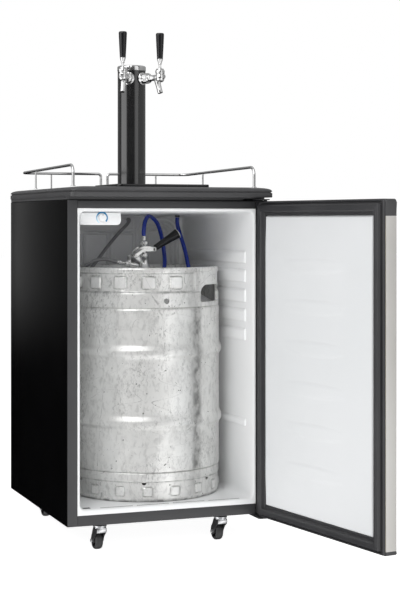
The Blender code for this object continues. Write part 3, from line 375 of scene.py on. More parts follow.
BLACK_STEEL = surface("black_painted_steel", (0.0016, 0.0016, 0.0018),
                      (0.0024, 0.0024, 0.0026), 0.17, specular=0.03, spread=0.02, grain=650.0,
                      depth=0.04)
GLOSS_BLACK = surface("gloss_black_tower", (0.006, 0.006, 0.0065),
                      (0.009, 0.009, 0.0095), 0.16, spread=0.03, grain=300.0, depth=0.02,
                      specular=1.0, coat=0.3)
FRAME_GREY = surface("grey_front_steel", (0.034, 0.034, 0.036),
                     (0.042, 0.042, 0.044), 0.45, grain=700.0, depth=0.15)
DARK_SHEET = surface("dark_rear_sheet", (0.03, 0.03, 0.032),
                     (0.045, 0.045, 0.047), 0.5, mottle=5.0)
TOP_PLASTIC = surface("textured_black_plastic", (0.042, 0.042, 0.044),
                      (0.053, 0.053, 0.055), 0.42, grain=1100.0, depth=0.45,
                      distance=0.0004)
SMOOTH_PLASTIC = surface("smooth_black_plastic", (0.006, 0.006, 0.007),
                         (0.009, 0.009, 0.010), 0.17, spread=0.03, grain=240.0, depth=0.02)
LINER_WHITE = surface("white_liner_plastic", (0.80, 0.81, 0.815),
                      (0.84, 0.845, 0.85), 0.38, mottle=4.0, grain=260.0, depth=0.05)
DOOR_WHITE = surface("white_door_plastic", (0.705, 0.72, 0.73),
                     (0.74, 0.75, 0.76), 0.42, mottle=3.0, grain=240.0, depth=0.05)
PLATE_GREY = surface("evaporator_grey", (0.66, 0.665, 0.672),
                     (0.72, 0.725, 0.732), 0.42, metallic=0.1, mottle=12.0, depth=0.1)
CHROME = surface("bright_chrome", (0.72, 0.72, 0.72), (0.80, 0.80, 0.80), 0.09,
                 metallic=1.0, spread=0.04, mottle=40.0, grain=200.0, depth=0.02)
DULL_CHROME = surface("handled_chrome", (0.74, 0.74, 0.73), (0.82, 0.82, 0.81),
                      0.17, metallic=1.0, spread=0.06, mottle=60.0, grain=400.0, depth=0.1)
ZINC = surface("zinc_plate", (0.62, 0.63, 0.65), (0.78, 0.78, 0.79), 0.28,
               metallic=1.0, mottle=60.0, depth=0.1)
# Black for the hinges; on the caster forks' cheeks it is painted shade.
BLACK_METAL_AND_SHADE = surface("black_hinge_metal_and_fork_shade", (0.02, 0.02, 0.022), (0.035, 0.035, 0.037),
                      0.35, grain=500.0)
BRUSHED = surface("brushed_stainless", (0.58, 0.565, 0.54), (0.66, 0.65, 0.625),
                  0.36, metallic=0.6, mottle=3.0, grain=500.0, depth=0.25,
                  grain_stretch=(1, 1, 0.02))
PLAIN_STEEL = surface("valve_steel", (0.5, 0.5, 0.49), (0.62, 0.62, 0.61), 0.3,
                      metallic=1.0, mottle=50.0)
GASKET = surface("gasket_rubber", (0.024, 0.024, 0.026), (0.034, 0.034, 0.036),
                 0.42, grain=600.0, depth=0.1)
TYRE = surface("wheel_rubber", (0.016, 0.016, 0.017), (0.028, 0.028, 0.029), 0.45,
               mottle=70.0, grain=900.0, depth=0.3)
BLUE_HOSE = surface("blue_hose", (0.006, 0.022, 0.22), (0.010, 0.032, 0.30),
                    0.22, mottle=30.0, grain=300.0, depth=0.04, coat=0.2)
GREY_HOSE = surface("grey_hose", (0.20, 0.20, 0.205), (0.24, 0.24, 0.245),
                    0.35, mottle=30.0, grain=500.0, depth=0.08)
FOAM = surface("foam_skin", (0.72, 0.60, 0.34), (0.80, 0.70, 0.45), 0.85,
               mottle=25.0, grain=300.0, depth=0.6, distance=0.001)
COPPER = surface("copper_tube", (0.62, 0.27, 0.15), (0.45, 0.2, 0.12), 0.3,
                 metallic=1.0, mottle=40.0)
KEG_STEEL = keg_steel()
DIAL_INK = dial_print()


# ---------------------------------------------------------------- shapes
def piece(name, bm, look, body="cabinet", stands_for=(), place=HOME, smooth=35.0):
    """Turn a bmesh, built in a local frame, into a finished piece that rides on a body."""
    moved(bm, place)
    bmesh.ops.recalc_face_normals(bm, faces=bm.faces)
    mesh = bpy.data.meshes.new(name)
    bm.to_mesh(mesh)
    bm.free()
    mesh.materials.append(look)
    mesh.shade_smooth()
    mesh.set_sharp_from_angle(angle=math.radians(smooth))
    made = bpy.data.objects.new(name, mesh)
    bpy.context.scene.collection.objects.link(made)
    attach(made, body)
    if stands_for:
        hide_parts(*([stands_for] if isinstance(stands_for, str) else stands_for))
    return made


def join(*shapes):
    """One bmesh that holds several separate bodies."""
    whole = bmesh.new()
    for shape in shapes:
        mesh = bpy.data.meshes.new("part")
        shape.to_mesh(mesh)
        shape.free()
        whole.from_mesh(mesh)
        bpy.data.meshes.remove(mesh)
    return whole


def carve(solid, *cutters, operation="DIFFERENCE"):
    """Boolean of one bmesh with others; returns a new bmesh."""
    made = []
    for shape in (solid, *cutters):
        bmesh.ops.recalc_face_normals(shape, faces=shape.faces)
        mesh = bpy.data.meshes.new("carve")
        shape.to_mesh(mesh)
        shape.free()
        holder = bpy.data.objects.new("carve", mesh)
        bpy.context.scene.collection.objects.link(holder)
        made.append(holder)
    for cutter in made[1:]:
        step = made[0].modifiers.new("carve", "BOOLEAN")
        step.operation = operation
        step.solver = "EXACT"
        step.object = cutter
    bpy.context.view_layer.update()
    graph = bpy.context.evaluated_depsgraph_get()
    result = bmesh.new()
    result.from_mesh(made[0].evaluated_get(graph).to_mesh())
    made[0].evaluated_get(graph).to_mesh_clear()
    for holder in made:
        mesh = holder.data
        bpy.data.objects.remove(holder, do_unlink=True)
        bpy.data.meshes.remove(mesh)
    return result


def box(x0, x1, y0, y1, z0, z1, bevel=0.0, segments=3):
    bm = bmesh.new()
    centre = Vector(((x0 + x1) / 2, (y0 + y1) / 2, (z0 + z1) / 2))
    size = Matrix.Diagonal((x1 - x0, y1 - y0, z1 - z0, 1.0))
    bmesh.ops.create_cube(bm, size=1.0, matrix=Matrix.Translation(centre) @ size)
    if bevel:
        bmesh.ops.bevel(bm, geom=bm.edges[:], offset=bevel, segments=segments,
                        profile=0.5, affect="EDGES")
    return bm


def moved(shape, matrix):
    """The same bmesh, moved, turned or scaled."""
    bmesh.ops.transform(shape, matrix=matrix, verts=shape.verts)
    return shape


def stitch(bm, rings, closed):
    """Faces between neighbouring rings of vertices; a ring of one vertex is a pole."""
    count = max(len(ring) for ring in rings)
    pairs = list(zip(rings, rings[1:])) + ([(rings[-1], rings[0])] if closed else [])
    for low, high in pairs:
        for i in range(count):
            j = (i + 1) % count
            corners = list(dict.fromkeys([low[i % len(low)], low[j % len(low)],
                                          high[j % len(high)], high[i % len(high)]]))
            if len(corners) > 2:
                bm.faces.new(corners)


def skin(loops, closed=False):
    """Skin a stack of loops of equal length; the ends are capped unless the stack is closed."""
    bm = bmesh.new()
    rings = [[bm.verts.new(point) for point in loop] for loop in loops]
    stitch(bm, rings, closed)
    if not closed:
        bm.faces.new(rings[0][::-1])
        bm.faces.new(rings[-1])
    return bm


def rounded(x0, x1, y0, y1, radius, steps=8):
    """Rounded rectangle as 2-D points, counter-clockwise."""
    corners = [(x1 - radius, y0 + radius, -90), (x1 - radius, y1 - radius, 0),
               (x0 + radius, y1 - radius, 90), (x0 + radius, y0 + radius, 180)]
    points = []
    for cx, cy, start in corners:
        for i in range(steps + 1):
            angle = math.radians(start + 90 * i / steps)
            points.append((cx + radius * math.cos(angle), cy + radius * math.sin(angle)))
    return points


def prism(outline, start, end, axis="Z", bevel=0.0, segments=2):
    """Extrusion of a 2-D outline with its rim rounded over."""
    def put(point, depth):
        a, b = point
        return {"X": (depth, a, b), "Y": (a, depth, b), "Z": (a, b, depth)}[axis]
    bm = skin([[put(p, start) for p in outline], [put(p, end) for p in outline]])
    if bevel:
        caps = [f for f in bm.faces if len(f.verts) == len(outline)]
        rim = {edge for face in caps for edge in face.edges}
        bmesh.ops.bevel(bm, geom=list(rim), offset=bevel, segments=segments, profile=0.5,
                        affect="EDGES")
    return bm


def turned(profile, steps=64, axis="Z", centre=(0, 0, 0)):
    """Spin (radius, height) points; a profile whose last point is its first is a ring."""
    ring = profile[0] == profile[-1]
    points = profile[:-1] if ring else profile
    bm = bmesh.new()
    rows = []
    for radius, height in points:
        if radius < 1e-7:
            rows.append([bm.verts.new((0, 0, height))])
        else:
            rows.append([bm.verts.new((radius * math.cos(a), radius * math.sin(a), height))
                         for a in (math.tau * i / steps for i in range(steps))])
    stitch(bm, rows, ring)
    turn = {"Z": Matrix.Identity(4), "X": Matrix.Rotation(math.pi / 2, 4, "Y"),
            "Y": Matrix.Rotation(-math.pi / 2, 4, "X"),
            "-Y": Matrix.Rotation(math.pi / 2, 4, "X")}[axis]
    moved(bm, Matrix.Translation(centre) @ turn)
    return bm


def arc(cx, cy, radius, start, end, steps=6):
    """Points of a circular arc, angles in degrees."""
    return [(cx + radius * math.cos(math.radians(a)), cy + radius * math.sin(math.radians(a)))
            for a in (start + (end - start) * i / steps for i in range(steps + 1))]


def aim(start, end):
    """Frame at start whose Z axis points to end."""
    way = Vector(end) - Vector(start)
    turn = Vector((0, 0, 1)).rotation_difference(way).to_matrix().to_4x4()
    return Matrix.Translation(start) @ turn, way.length


def bar(start, end, radius, steps=24, edge=0.0006):
    """Round bar with softened ends."""
    place, length = aim(start, end)
    bm = turned([(0, 0), (radius - edge, 0), (radius, edge), (radius, length - edge),
                 (radius - edge, length), (0, length)], steps)
    moved(bm, place)
    return bm


def sweep(path, radius, sides=16, caps=True):
    """Round section along a path, carried along so that it doesn't twist."""
    points = [Vector(p) for p in path]
    tangents = [(points[min(i + 1, len(points) - 1)] - points[max(i - 1, 0)]).normalized()
                for i in range(len(points))]
    side = tangents[0].orthogonal().normalized()
    loops = []
    for i, (point, tangent) in enumerate(zip(points, tangents)):
        if i:
            side = tangents[i - 1].rotation_difference(tangent) @ side
        other = tangent.cross(side).normalized()
        loops.append([point + radius * (math.cos(a) * side + math.sin(a) * other)
                      for a in (math.tau * k / sides for k in range(sides))])
    return skin(loops) if caps else skin(loops, closed=True)


def rounded_path(corners, radii, steps=8):
    """Polyline whose inner corners are arcs."""
    points = [Vector(corners[0])]
    for before, corner, after, radius in zip(corners, corners[1:], corners[2:], radii):
        before, corner, after = Vector(before), Vector(corner), Vector(after)
        a, b = (before - corner).normalized(), (after - corner).normalized()
        half = a.angle(b) / 2
        reach = radius / math.tan(half)
        centre = corner + (a + b).normalized() * radius / math.sin(half)
        start, end = corner + a * reach - centre, corner + b * reach - centre
        swing = start.angle(end)
        for i in range(steps + 1):
            t = i / steps
            points.append(centre + (math.sin((1 - t) * swing) * start
                                    + math.sin(t * swing) * end) / math.sin(swing))
    points.append(Vector(corners[-1]))
    return points


def smooth_route(route, count):
    """Points at equal steps along a Catmull-Rom curve through the route."""
    knots = [Vector(p) for p in route]
    knots = [2 * knots[0] - knots[1]] + knots + [2 * knots[-1] - knots[-2]]
    fine = []
    for a, b, c, d in zip(knots, knots[1:], knots[2:], knots[3:]):
        for i in range(40):
            t = i / 40
            fine.append(0.5 * ((2 * b) + (c - a) * t + (2 * a - 5 * b + 4 * c - d) * t * t
                               + (3 * b - a - 3 * c + d) * t ** 3))
    fine.append(knots[-2])
    lengths = [0.0]
    for p, q in zip(fine, fine[1:]):
        lengths.append(lengths[-1] + (q - p).length)
    out, k = [], 0
    for i in range(count):
        want = lengths[-1] * i / (count - 1)
        while k < len(fine) - 2 and lengths[k + 1] < want:
            k += 1
        part = (want - lengths[k]) / (lengths[k + 1] - lengths[k])
        out.append(fine[k].lerp(fine[k + 1], part))
    return out


def smoothstep(low, high, value):
    t = min(max((value - low) / (high - low), 0.0), 1.0)
    return t * t * (3 - 2 * t)


# ---------------------------------------------------------------- free lines
BEER_ROUTE = [(0.2780, 0.2320, 0.7133), (0.2780, 0.2320, 0.7250), (0.2812, 0.2362, 0.7440),
              (0.2905, 0.2478, 0.7595), (0.3041, 0.2650, 0.7660), (0.3214, 0.2801, 0.7600),
              (0.3370, 0.2862, 0.7430), (0.3489, 0.2908, 0.7115), (0.3561, 0.2929, 0.6760),
              (0.3595, 0.2949, 0.6400), (0.3562, 0.3000, 0.6080), (0.3445, 0.3150, 0.5890),
              (0.3270, 0.3350, 0.5836), (0.2960, 0.3540, 0.5788), (0.2540, 0.3620, 0.5750),
              (0.2090, 0.3490, 0.5745), (0.1710, 0.3140, 0.5740), (0.1490, 0.2640, 0.5740),
              (0.1480, 0.2120, 0.5750), (0.1680, 0.1620, 0.5760), (0.2040, 0.1230, 0.5760),
              (0.2540, 0.1020, 0.5755), (0.3060, 0.1020, 0.5755), (0.3540, 0.1240, 0.5755),
              (0.3920, 0.1620, 0.5755), (0.4140, 0.2120, 0.5790), (0.4240, 0.2600, 0.5970),
              (0.4280, 0.2940, 0.6300), (0.4280, 0.3190, 0.6700), (0.4240, 0.3385, 0.7060),
              (0.4185, 0.3500, 0.7350), (0.4170, 0.3520, 0.7500), (0.4170, 0.3520, 0.7632)]
GAS_ROUTE = [(0.1967, 0.2149, 0.6461), (0.1800, 0.2115, 0.6495), (0.1560, 0.2080, 0.6530),
             (0.1330, 0.2105, 0.6480), (0.1140, 0.2240, 0.6350), (0.1030, 0.2480, 0.6190),
             (0.1050, 0.2790, 0.6060), (0.1190, 0.3110, 0.6000), (0.1430, 0.3420, 0.6050),
             (0.1750, 0.3690, 0.6270), (0.2080, 0.3890, 0.6600), (0.2400, 0.4050, 0.6930),
             (0.2690, 0.4195, 0.7200), (0.2920, 0.4330, 0.7385), (0.3060, 0.4460, 0.7500),
             (0.3125, 0.4590, 0.7558), (0.3140, 0.4690, 0.7570), (0.3140, 0.4786, 0.7570)]
HOSE_R, GAS_HOSE_R = 0.0056, 0.0047


def build_lines():
    """Beer line, which follows the coupler's probe at its start, and gas line."""
    for name, node, route, radius, look, count in (
            ("beer_hose", "beer_line", BEER_ROUTE, HOSE_R, BLUE_HOSE, 260),
            ("gas_hose", "gas_line", GAS_ROUTE, GAS_HOSE_R, GREY_HOSE, 130)):
        path = smooth_route([CAB + Vector(p) for p in route], count)
        bm = sweep(path, radius, 20)
        mesh = bpy.data.meshes.new(name)
        bmesh.ops.recalc_face_normals(bm, faces=bm.faces)
        bm.to_mesh(mesh)
        bm.free()
        mesh.materials.append(look)
        mesh.shade_smooth()
        mesh.set_sharp_from_angle(angle=math.radians(40))
        hose = bpy.data.objects.new(name, mesh)
        bpy.context.scene.collection.objects.link(hose)
        if name == "beer_hose":
            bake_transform(hose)
        else:
            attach(hose, "cabinet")
        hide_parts(node)


build_lines()


# ---------------------------------------------------------------- cabinet
GAP = 0.0003
SHEET, FLANGE = 0.002, 0.0265                      # shell sheet, width of its front flanges
RAIL_LOW, RAIL_HIGH = span("front_bottom_rail")[1].z, span("front_top_rail")[0].z
CAV_X0, CAV_X1, CAV_LEAN = 0.0345, 0.4955, 0.0085  # cavity sides, and how far they lean in
CAV_FLOOR, CAV_TOP, CAV_DROP = 0.040, 0.7770, 0.0110
CAV_BACK, HUMP_Y, HUMP_Z = 0.497, 0.450, 0.288
PASSAGE = (TOWER.x, TOWER.y - 0.012)               # the lines' way up into the tower


def dress(look, *names):
    """Finish for CAD nodes that stay."""
    for name in names:
        for slot in frame["nodes"][name].material_slots:
            slot.material = look


def front_look(made, look):
    """Second finish on the faces that look forward."""
    made.data.materials.append(look)
    for face in made.data.polygons:
        if face.normal.y < -0.8:
            face.material_index = 1


def passage(z0, z1):
    """Cutter for the round hole under the tower that the lines pass through."""
    return turned([(0, z0), (0.030, z0), (0.030, z1), (0, z1)], 48, centre=(*PASSAGE, 0))


def build_shell():
    """Painted steel wrap with soft folds; its front flanges have the frame's grey."""
    shell = carve(box(0, CAB_W, 0, CAB_D, 0, CAB_H, 0.0025),
                  box(SHEET, CAB_W - SHEET, SHEET, CAB_D + 0.01, -0.01, CAB_H - SHEET),
                  box(FLANGE, CAB_W - FLANGE, -0.01, 0.01, -0.01, CAB_H - SHEET),
                  passage(CAB_H - 0.02, CAB_H + 0.02))
    made = piece("painted_shell", shell, BLACK_STEEL, stands_for="outer_shell")
    front_look(made, FRAME_GREY)
    for name, node in (("top_rail", "front_top_rail"), ("bottom_rail", "front_bottom_rail")):
        low, high = span(node)
        piece(name, box(low.x, high.x, low.y + 0.0004, high.y, low.z, high.z, 0.0014),
              FRAME_GREY, stands_for=node)
    dress(DARK_SHEET, "base_pan")


def cavity_ring(y, inset, floor):
    """Round-cornered outline of the cavity at a depth, drawn in by an inset."""
    part = y / CAV_BACK
    lean = CAV_LEAN * part + inset
    outline = rounded(CAV_X0 + lean, CAV_X1 - lean, floor + inset,
                      CAV_TOP - CAV_DROP * part - inset,
                      max(0.014 - inset, 0.001), 6)
    return [(x, y, z) for x, z in outline]


def liner_box():
    """Liner as one closed skin: back outside, lip, flare, cavity with its hump, back inside."""
    wall, corner = 0.0025, 0.012
    turn = [(corner * (1 - math.sin(a)), corner * (1 - math.cos(a)))
            for a in (math.radians(15 * i) for i in range(7))]
    loops = [cavity_ring(CAV_BACK + wall - ahead, inset - wall, HUMP_Z)
             for ahead, inset in turn[::-1]]
    loops += [cavity_ring(HUMP_Y + 0.0035, -wall, HUMP_Z),
              cavity_ring(HUMP_Y + 0.0025, -wall, CAV_FLOOR),
              cavity_ring(0.0048, -wall, CAV_FLOOR)]
    for y, inset in ((0.0048, 0.0), (0.0011, 0.0), (GAP, 0.0008)):
        loops.append([(x, y, z) for x, z in rounded(
            FLANGE + GAP + inset, CAB_W - FLANGE - GAP - inset, RAIL_LOW + GAP + inset,
            RAIL_HIGH - GAP - inset, 0.0012, 6)])
    for y, inset in ((0.0003, -0.0046), (0.0012, -0.0026), (0.0028, -0.0010), (0.0060, 0.0)):
        loops.append(cavity_ring(y, inset, CAV_FLOOR))
    for y, z in ((HUMP_Y - 0.008, CAV_FLOOR), (HUMP_Y - 0.0030, CAV_FLOOR + 0.0020),
                 (HUMP_Y - 0.0006, CAV_FLOOR + 0.0080), (HUMP_Y, HUMP_Z - 0.0080),
                 (HUMP_Y + 0.0026, HUMP_Z - 0.0022), (HUMP_Y + 0.0085, HUMP_Z)):
        loops.append(cavity_ring(y, 0.0, z))
    loops += [cavity_ring(CAV_BACK - ahead, inset, HUMP_Z) for ahead, inset in turn]
    return skin(loops)


def shelf_band(side, low, high):
    """Moulded band on a side wall; a shelf would slide in the gap between two of them."""
    loops = []
    for y, out in ((0.0460, 0.0004), (0.0475, 0.0032), (0.0510, 0.0048), (0.4330, 0.0048),
                   (0.4375, 0.0030), (0.4400, 0.0004)):
        lean = CAV_LEAN * y / CAV_BACK
        wall = CAV_X0 + lean if side < 0 else CAV_X1 - lean
        shape = [(-0.001, low), (out * 0.50, low), (out * 0.90, low + 0.0006),
                 (out, low + 0.0018), (out, high - 0.0090), (out * 0.92, high - 0.0060),
                 (out * 0.50, high - 0.0018), (out * 0.10, high), (-0.001, high)]
        loops.append([(wall - side * a, y, z) for a, z in shape])
    return skin(loops)


def build_liner():
    """White inner box: flared lip, round corners, shelf ribs and a drip channel."""
    low, high = CAV_X0 + 0.050, CAV_X1 - 0.026
    pitch = (high - low) / 4
    grooves = [(low + pitch * i + 0.005, low + pitch * (i + 1) - 0.005, 0.0130, 0.0195)
               for i in range(4)]
    grooves.append((CAV_X0 + 0.012, CAV_X0 + 0.032, 0.0150, 0.0330))
    slots = [box(*groove, CAV_FLOOR - 0.0016, CAV_FLOOR + 0.001) for groove in grooves]
    gas = (span("gas_bulkhead")[0] + span("gas_bulkhead")[1]) / 2
    hole = turned([(0, 0.45), (0.0072, 0.45), (0.0072, 0.62), (0, 0.62)], 24, "Y",
                  (gas.x, 0, gas.z))
    split = (span("line_splitter")[0] + span("line_splitter")[1]) / 2
    split.x = span("line_splitter")[1].x - 0.012
    port = turned([(0, 0.75), (0.0078, 0.75), (0.0078, 0.80), (0, 0.80)], 24,
                  centre=(split.x, split.y, 0))
    # Painted shade: dark sheets laid in the bottoms of the drip slots to darken them.
    slot_shade_sheets = [box(x0 + 0.0002, x1 - 0.0002, y0 + 0.0002, y1 - 0.0002, CAV_FLOOR - 0.0015,
                CAV_FLOOR - 0.0004) for x0, x1, y0, y1 in grooves]
    piece("drip_slot_painted_shade", join(*slot_shade_sheets), DARK_SHEET)
    body = carve(liner_box(), port, hole, *slots)
    bands = [(0.6440, 0.6755), (0.5945, 0.6280), (0.5425, 0.5770), (0.4925, 0.5255),
             (0.4430, 0.4745), (0.2200, 0.2400)]
    bands = [shelf_band(side, *reach) for reach in bands for side in (-1, 1)]
    piece("white_liner", join(body, *bands), LINER_WHITE, stands_for="inner_liner")
    dress(FOAM, "insulation_foam", "door_foam")


def build_worktop():
    """Moulded top: flat front face, dark groove, bullnose and a crown, with a tray pocket."""
    low, high = span("worktop")
    levels = [(0.0015, 0.8130), (0.0004, 0.8135), (0.0, 0.8146), (0.0, 0.8240),
              (0.0010, 0.8245), (0.0030, 0.8250), (0.0030, 0.8270), (0.0010, 0.8274),
              (0.0003, 0.8280), (0.0005, 0.8294), (0.0016, 0.8312), (0.0038, 0.8330),
              (0.0070, 0.8346), (0.0120, 0.8359), (0.0190, 0.8370), (0.0280, 0.8379),
              (0.0400, 0.8387), (0.0540, 0.8392), (0.0700, high.z)]
    loops = []
    for inset, z in levels:
        outline = rounded(low.x + inset, high.x - inset, low.y + inset, high.y - inset,
                          max(0.016 - 0.5 * inset, 0.004), 10)
        loops.append([(x, y, z) for x, y in outline])
    body = carve(skin(loops), box(0.001, CAB_W - 0.001, 0.004, CAB_D - 0.001, CAB_H + GAP,
                                  0.815), operation="UNION")
    tray_low, tray_high = span("drip_tray")
    pocket = prism(rounded(tray_low.x + 0.010, tray_high.x - 0.010, tray_low.y + 0.010,
                           tray_high.y - 0.010, 0.010), high.z - 0.015, high.z + 0.01)
    body = carve(body, box(0.468, CAB_W + 0.01, -0.0005, 0.062, CAB_H, 0.8097), pocket,
                 passage(0.79, 0.85))
    piece("moulded_worktop", body, TOP_PLASTIC, stands_for="worktop", smooth=28)


def build_rails():
    """Chromed guard rails with thin posts, each on a small foot."""
    crown = span("worktop")[1].z
    wire, post = 0.0037, 0.0024
    for name, sign in (("left", 1), ("right", -1)):
        low, high = span("guard_rail_" + name)
        side = low.x + 0.0036 if sign > 0 else high.x - 0.0036
        gap = high.x - 0.0036 if sign > 0 else low.x + 0.0036
        front, rear, peak = low.y + 0.0036, high.y - 0.0036, high.z - 0.0036
        drop = 0.006
        path = rounded_path([(side, front, crown), (side, front, peak),
                             (side, rear, peak - drop), (gap, rear, peak - drop),
                             (gap, rear, crown)], (0.022, 0.024, 0.008), 10)
        shapes = [sweep(path, wire, 20)]
        posts = ((side, 0.384 if sign > 0 else 0.391), (0.105 if sign > 0 else 0.416, rear))
        for x, y in posts:
            top = peak - drop * (y - front) / (rear - front)
            shapes.append(bar((x, y, crown), (x, y, top), post, steps=16))
            shapes.append(turned([(0, crown), (0.0050, crown), (0.0048, crown + 0.0012),
                                  (0.0030, crown + 0.0020), (0, crown + 0.0020)], 20,
                                 centre=(x, y, 0)))
        for x, y in ((side, front), (gap, rear)):
            shapes.append(turned([(0, crown), (0.0062, crown), (0.0060, crown + 0.0014),
                                  (0.0042, crown + 0.0024), (0, crown + 0.0024)], 24,
                                 centre=(x, y, 0)))
        piece("rail_" + name, join(*shapes), CHROME, stands_for="guard_rail_" + name)


def build_tray():
    """Drip tray with a rolled rim, and its lift-off slotted grate."""
    low, high = span("drip_tray")
    x0, x1, y0, y1 = low.x, high.x, low.y, high.y
    crown = span("worktop")[1].z
    top = high.z

    def ring(inset, z, radius):
        return [(x, y, z) for x, y in rounded(x0 + inset, x1 - inset, y0 + inset,
                                              y1 - inset, radius, 6)]
    outside = [ring(0.014, low.z, 0.009), ring(0.0125, low.z + 0.0005, 0.010),
               ring(0.0112, low.z + 0.0020, 0.010), ring(0.0110, crown + GAP, 0.010),
               ring(0.0004, crown + GAP, 0.014), ring(0.0, crown + 0.0010, 0.014),
               ring(0.0, top - 0.0018, 0.014), ring(0.0005, top - 0.0006, 0.0138),
               ring(0.0016, top, 0.013), ring(0.0034, top, 0.012),
               ring(0.0047, top - 0.0006, 0.0105), ring(0.0050, top - 0.0018, 0.010),
               ring(0.0050, crown + 0.0018, 0.010), ring(0.0130, crown + 0.0018, 0.008),
               ring(0.0132, low.z + 0.0042, 0.008), ring(0.0150, low.z + 0.0022, 0.008)]
    piece("tray", skin(outside), SMOOTH_PLASTIC, body="drip_tray", stands_for="drip_tray")
    low, high = span("drip_grate")
    plate = prism(rounded(low.x, high.x, low.y, high.y, 0.0095), low.z, high.z,
                  bevel=0.0008)
    slots, pitch = 9, 0.0235
    cutters = []
    for i in range(slots):
        x = (low.x + high.x) / 2 + (i - (slots - 1) / 2) * pitch
        cutters.append(prism(rounded(x - 0.0065, x + 0.0065, low.y + 0.0164,
                                     high.y - 0.0164, 0.0064, 6), low.z - 0.01,
                             high.z + 0.01))
    piece("grate", carve(plate, *cutters), SMOOTH_PLASTIC, body="drip_grate",
          stands_for="drip_grate")


# ---------------------------------------------------------------- inside the cabinet
def build_evaporator():
    """Roll-bonded plate: its channels stand out as flat, round-cornered loops."""
    low, high = span("evaporator_plate")
    plate = prism(rounded(low.x, high.x, low.z, high.z, 0.014), low.y, high.y, "Y", 0.0008)
    pairs = ((0.112, 0.180), (0.189, 0.257), (0.2665, 0.334))
    loops = [(x0, x1, z0, z1, 0.008) for x0, x1 in pairs
             for z0, z1 in ((0.440, 0.552), (0.562, 0.719))]
    loops += [(0.343 + inset, 0.466 - inset, 0.440 + inset, 0.760 - inset, 0.042 - inset)
              for inset in (0.0, 0.013, 0.026, 0.038)]
    loops.append((0.058, 0.334, 0.7275, 0.7600, 0.010))
    channels = []
    for x0, x1, z0, z1, radius in loops:
        path = [(x, 0.0, z) for x, z in rounded(x0, x1, z0, z1, radius, 8)]
        channels.append(sweep(path, 0.0042, 12, caps=False))
    raised = join(*channels)
    squash = Matrix.Translation((0, low.y, 0)) @ Matrix.Diagonal((1, 0.8, 1, 1))
    moved(raised, squash)
    piece("cooling_plate", join(plate, raised), PLATE_GREY, stands_for="evaporator_plate",
          smooth=50)


def build_thermostat():
    """Control housing with a printed arc and its round knob."""
    low, high = span("thermostat_housing")
    corner, seat = 0.010, Vector(JOINTS["thermostat_turn"]["pos_m"]) - CAB
    outline = [(high.x, high.z), (low.x, high.z),
               *arc(low.x + corner, low.z + corner, corner, 180, 270),
               *arc(high.x - corner, low.z + corner, corner, 270, 360)]
    housing = carve(prism(outline, low.y, high.y, "Y", 0.0022, 3),
                    turned([(0, 0.03), (0.0036, 0.03), (0.0036, 0.057), (0, 0.057)], 24, "Y",
                           (seat.x, 0, seat.z)))
    piece("control_housing", housing, LINER_WHITE, stands_for="thermostat_housing")
    steps, loops = 72, []
    for i in range(steps + 1):
        part = i / steps
        a = math.radians(241 - 283 * part)
        outer, width = 0.0154, 0.0026 + 0.0022 * part
        loops.append([(seat.x + r * math.cos(a), y, seat.z + r * math.sin(a))
                      for r, y in ((outer, low.y + 0.0002), (outer, low.y - 0.0003),
                                   (outer - width, low.y - 0.0003),
                                   (outer - width, low.y + 0.0002))])
    printed = piece("dial_arc", skin(loops), DIAL_INK)
    along = printed.data.attributes.new("along", "FLOAT", "POINT")
    for i, item in enumerate(along.data):
        item.value = smoothstep(0.0, 0.40, (i // 4) / steps)
    knob_place = Matrix.Translation(JOINTS["thermostat_turn"]["pos_m"])
    knob = turned([(0, 0.0092), (0.0080, 0.0094), (0.0092, 0.0090), (0.0099, 0.0078),
                   (0.0100, 0.0012), (0.0096, 0.0004), (0.0030, 0.0004), (0.0030, -0.0095),
                   (0, -0.0095)], 48, "-Y")
    piece("dial_knob", knob, LINER_WHITE, body="thermostat_knob",
          stands_for="thermostat_knob", place=knob_place)
    piece("dial_pointer", box(-0.0008, 0.0008, -0.0100, -0.0088, 0.0055, 0.0096, 0.0003, 2),
          GREY_HOSE, body="thermostat_knob", place=knob_place)


# ---------------------------------------------------------------- tower and taps
def build_tower():
    """Gloss black column on its flange, with a chrome band and lid."""
    low, high = span("tower_flange")
    radius, flange_r = span("tower_column")[1].x - TOWER.x, high.x - TOWER.x
    hole = radius - 0.0024
    flange = turned([(hole, low.z), (flange_r, low.z), (flange_r, low.z + 0.0026),
                     (flange_r - 0.0008, low.z + 0.0038), (flange_r - 0.0026, low.z + 0.0046),
                     (radius + 0.0060, high.z - 0.0004), (radius + 0.0030, high.z),
                     (hole, high.z), (hole, low.z)], 96, centre=(TOWER.x, TOWER.y, 0))
    piece("column_flange", flange, GLOSS_BLACK, stands_for="tower_flange")
    low, high = span("tower_column")
    tube = turned([(radius - 0.002, low.z), (radius - 0.0004, low.z),
                   (radius, low.z + 0.0004), (radius, high.z - 0.0004),
                   (radius - 0.0004, high.z), (radius - 0.002, high.z),
                   (radius - 0.002, low.z)], 128, centre=(TOWER.x, TOWER.y, 0))
    holes = []
    for side in ("left", "right"):
        holes.append(turned([(0, 0.012), (0.0115, 0.012), (0.0115, 0.05), (0, 0.05)], 32,
                            "-Y"))
        moved(holes[-1], HOME.inverted() @ shank_place(side))
    piece("column_tube", carve(tube, *holes), GLOSS_BLACK, stands_for="tower_column")
    low, high = span("tower_cap")
    band, inner = high.x - TOWER.x, radius - 0.0026
    seat = high.z - 0.014
    cap = turned([(0, low.z), (inner, low.z), (inner, seat), (band - 0.0006, seat),
                  (band, seat + 0.0006), (band, seat + 0.0100), (band - 0.0004, seat + 0.0114),
                  (band - 0.0018, seat + 0.0128), (band - 0.0045, seat + 0.0137),
                  (band - 0.0080, high.z), (0, high.z)], 128, centre=(TOWER.x, TOWER.y, 0))
    piece("column_cap", cap, CHROME, stands_for="tower_cap")
    dress(BLUE_HOSE, "beer_riser_left", "beer_riser_right")
    dress(SMOOTH_PLASTIC, "line_splitter")


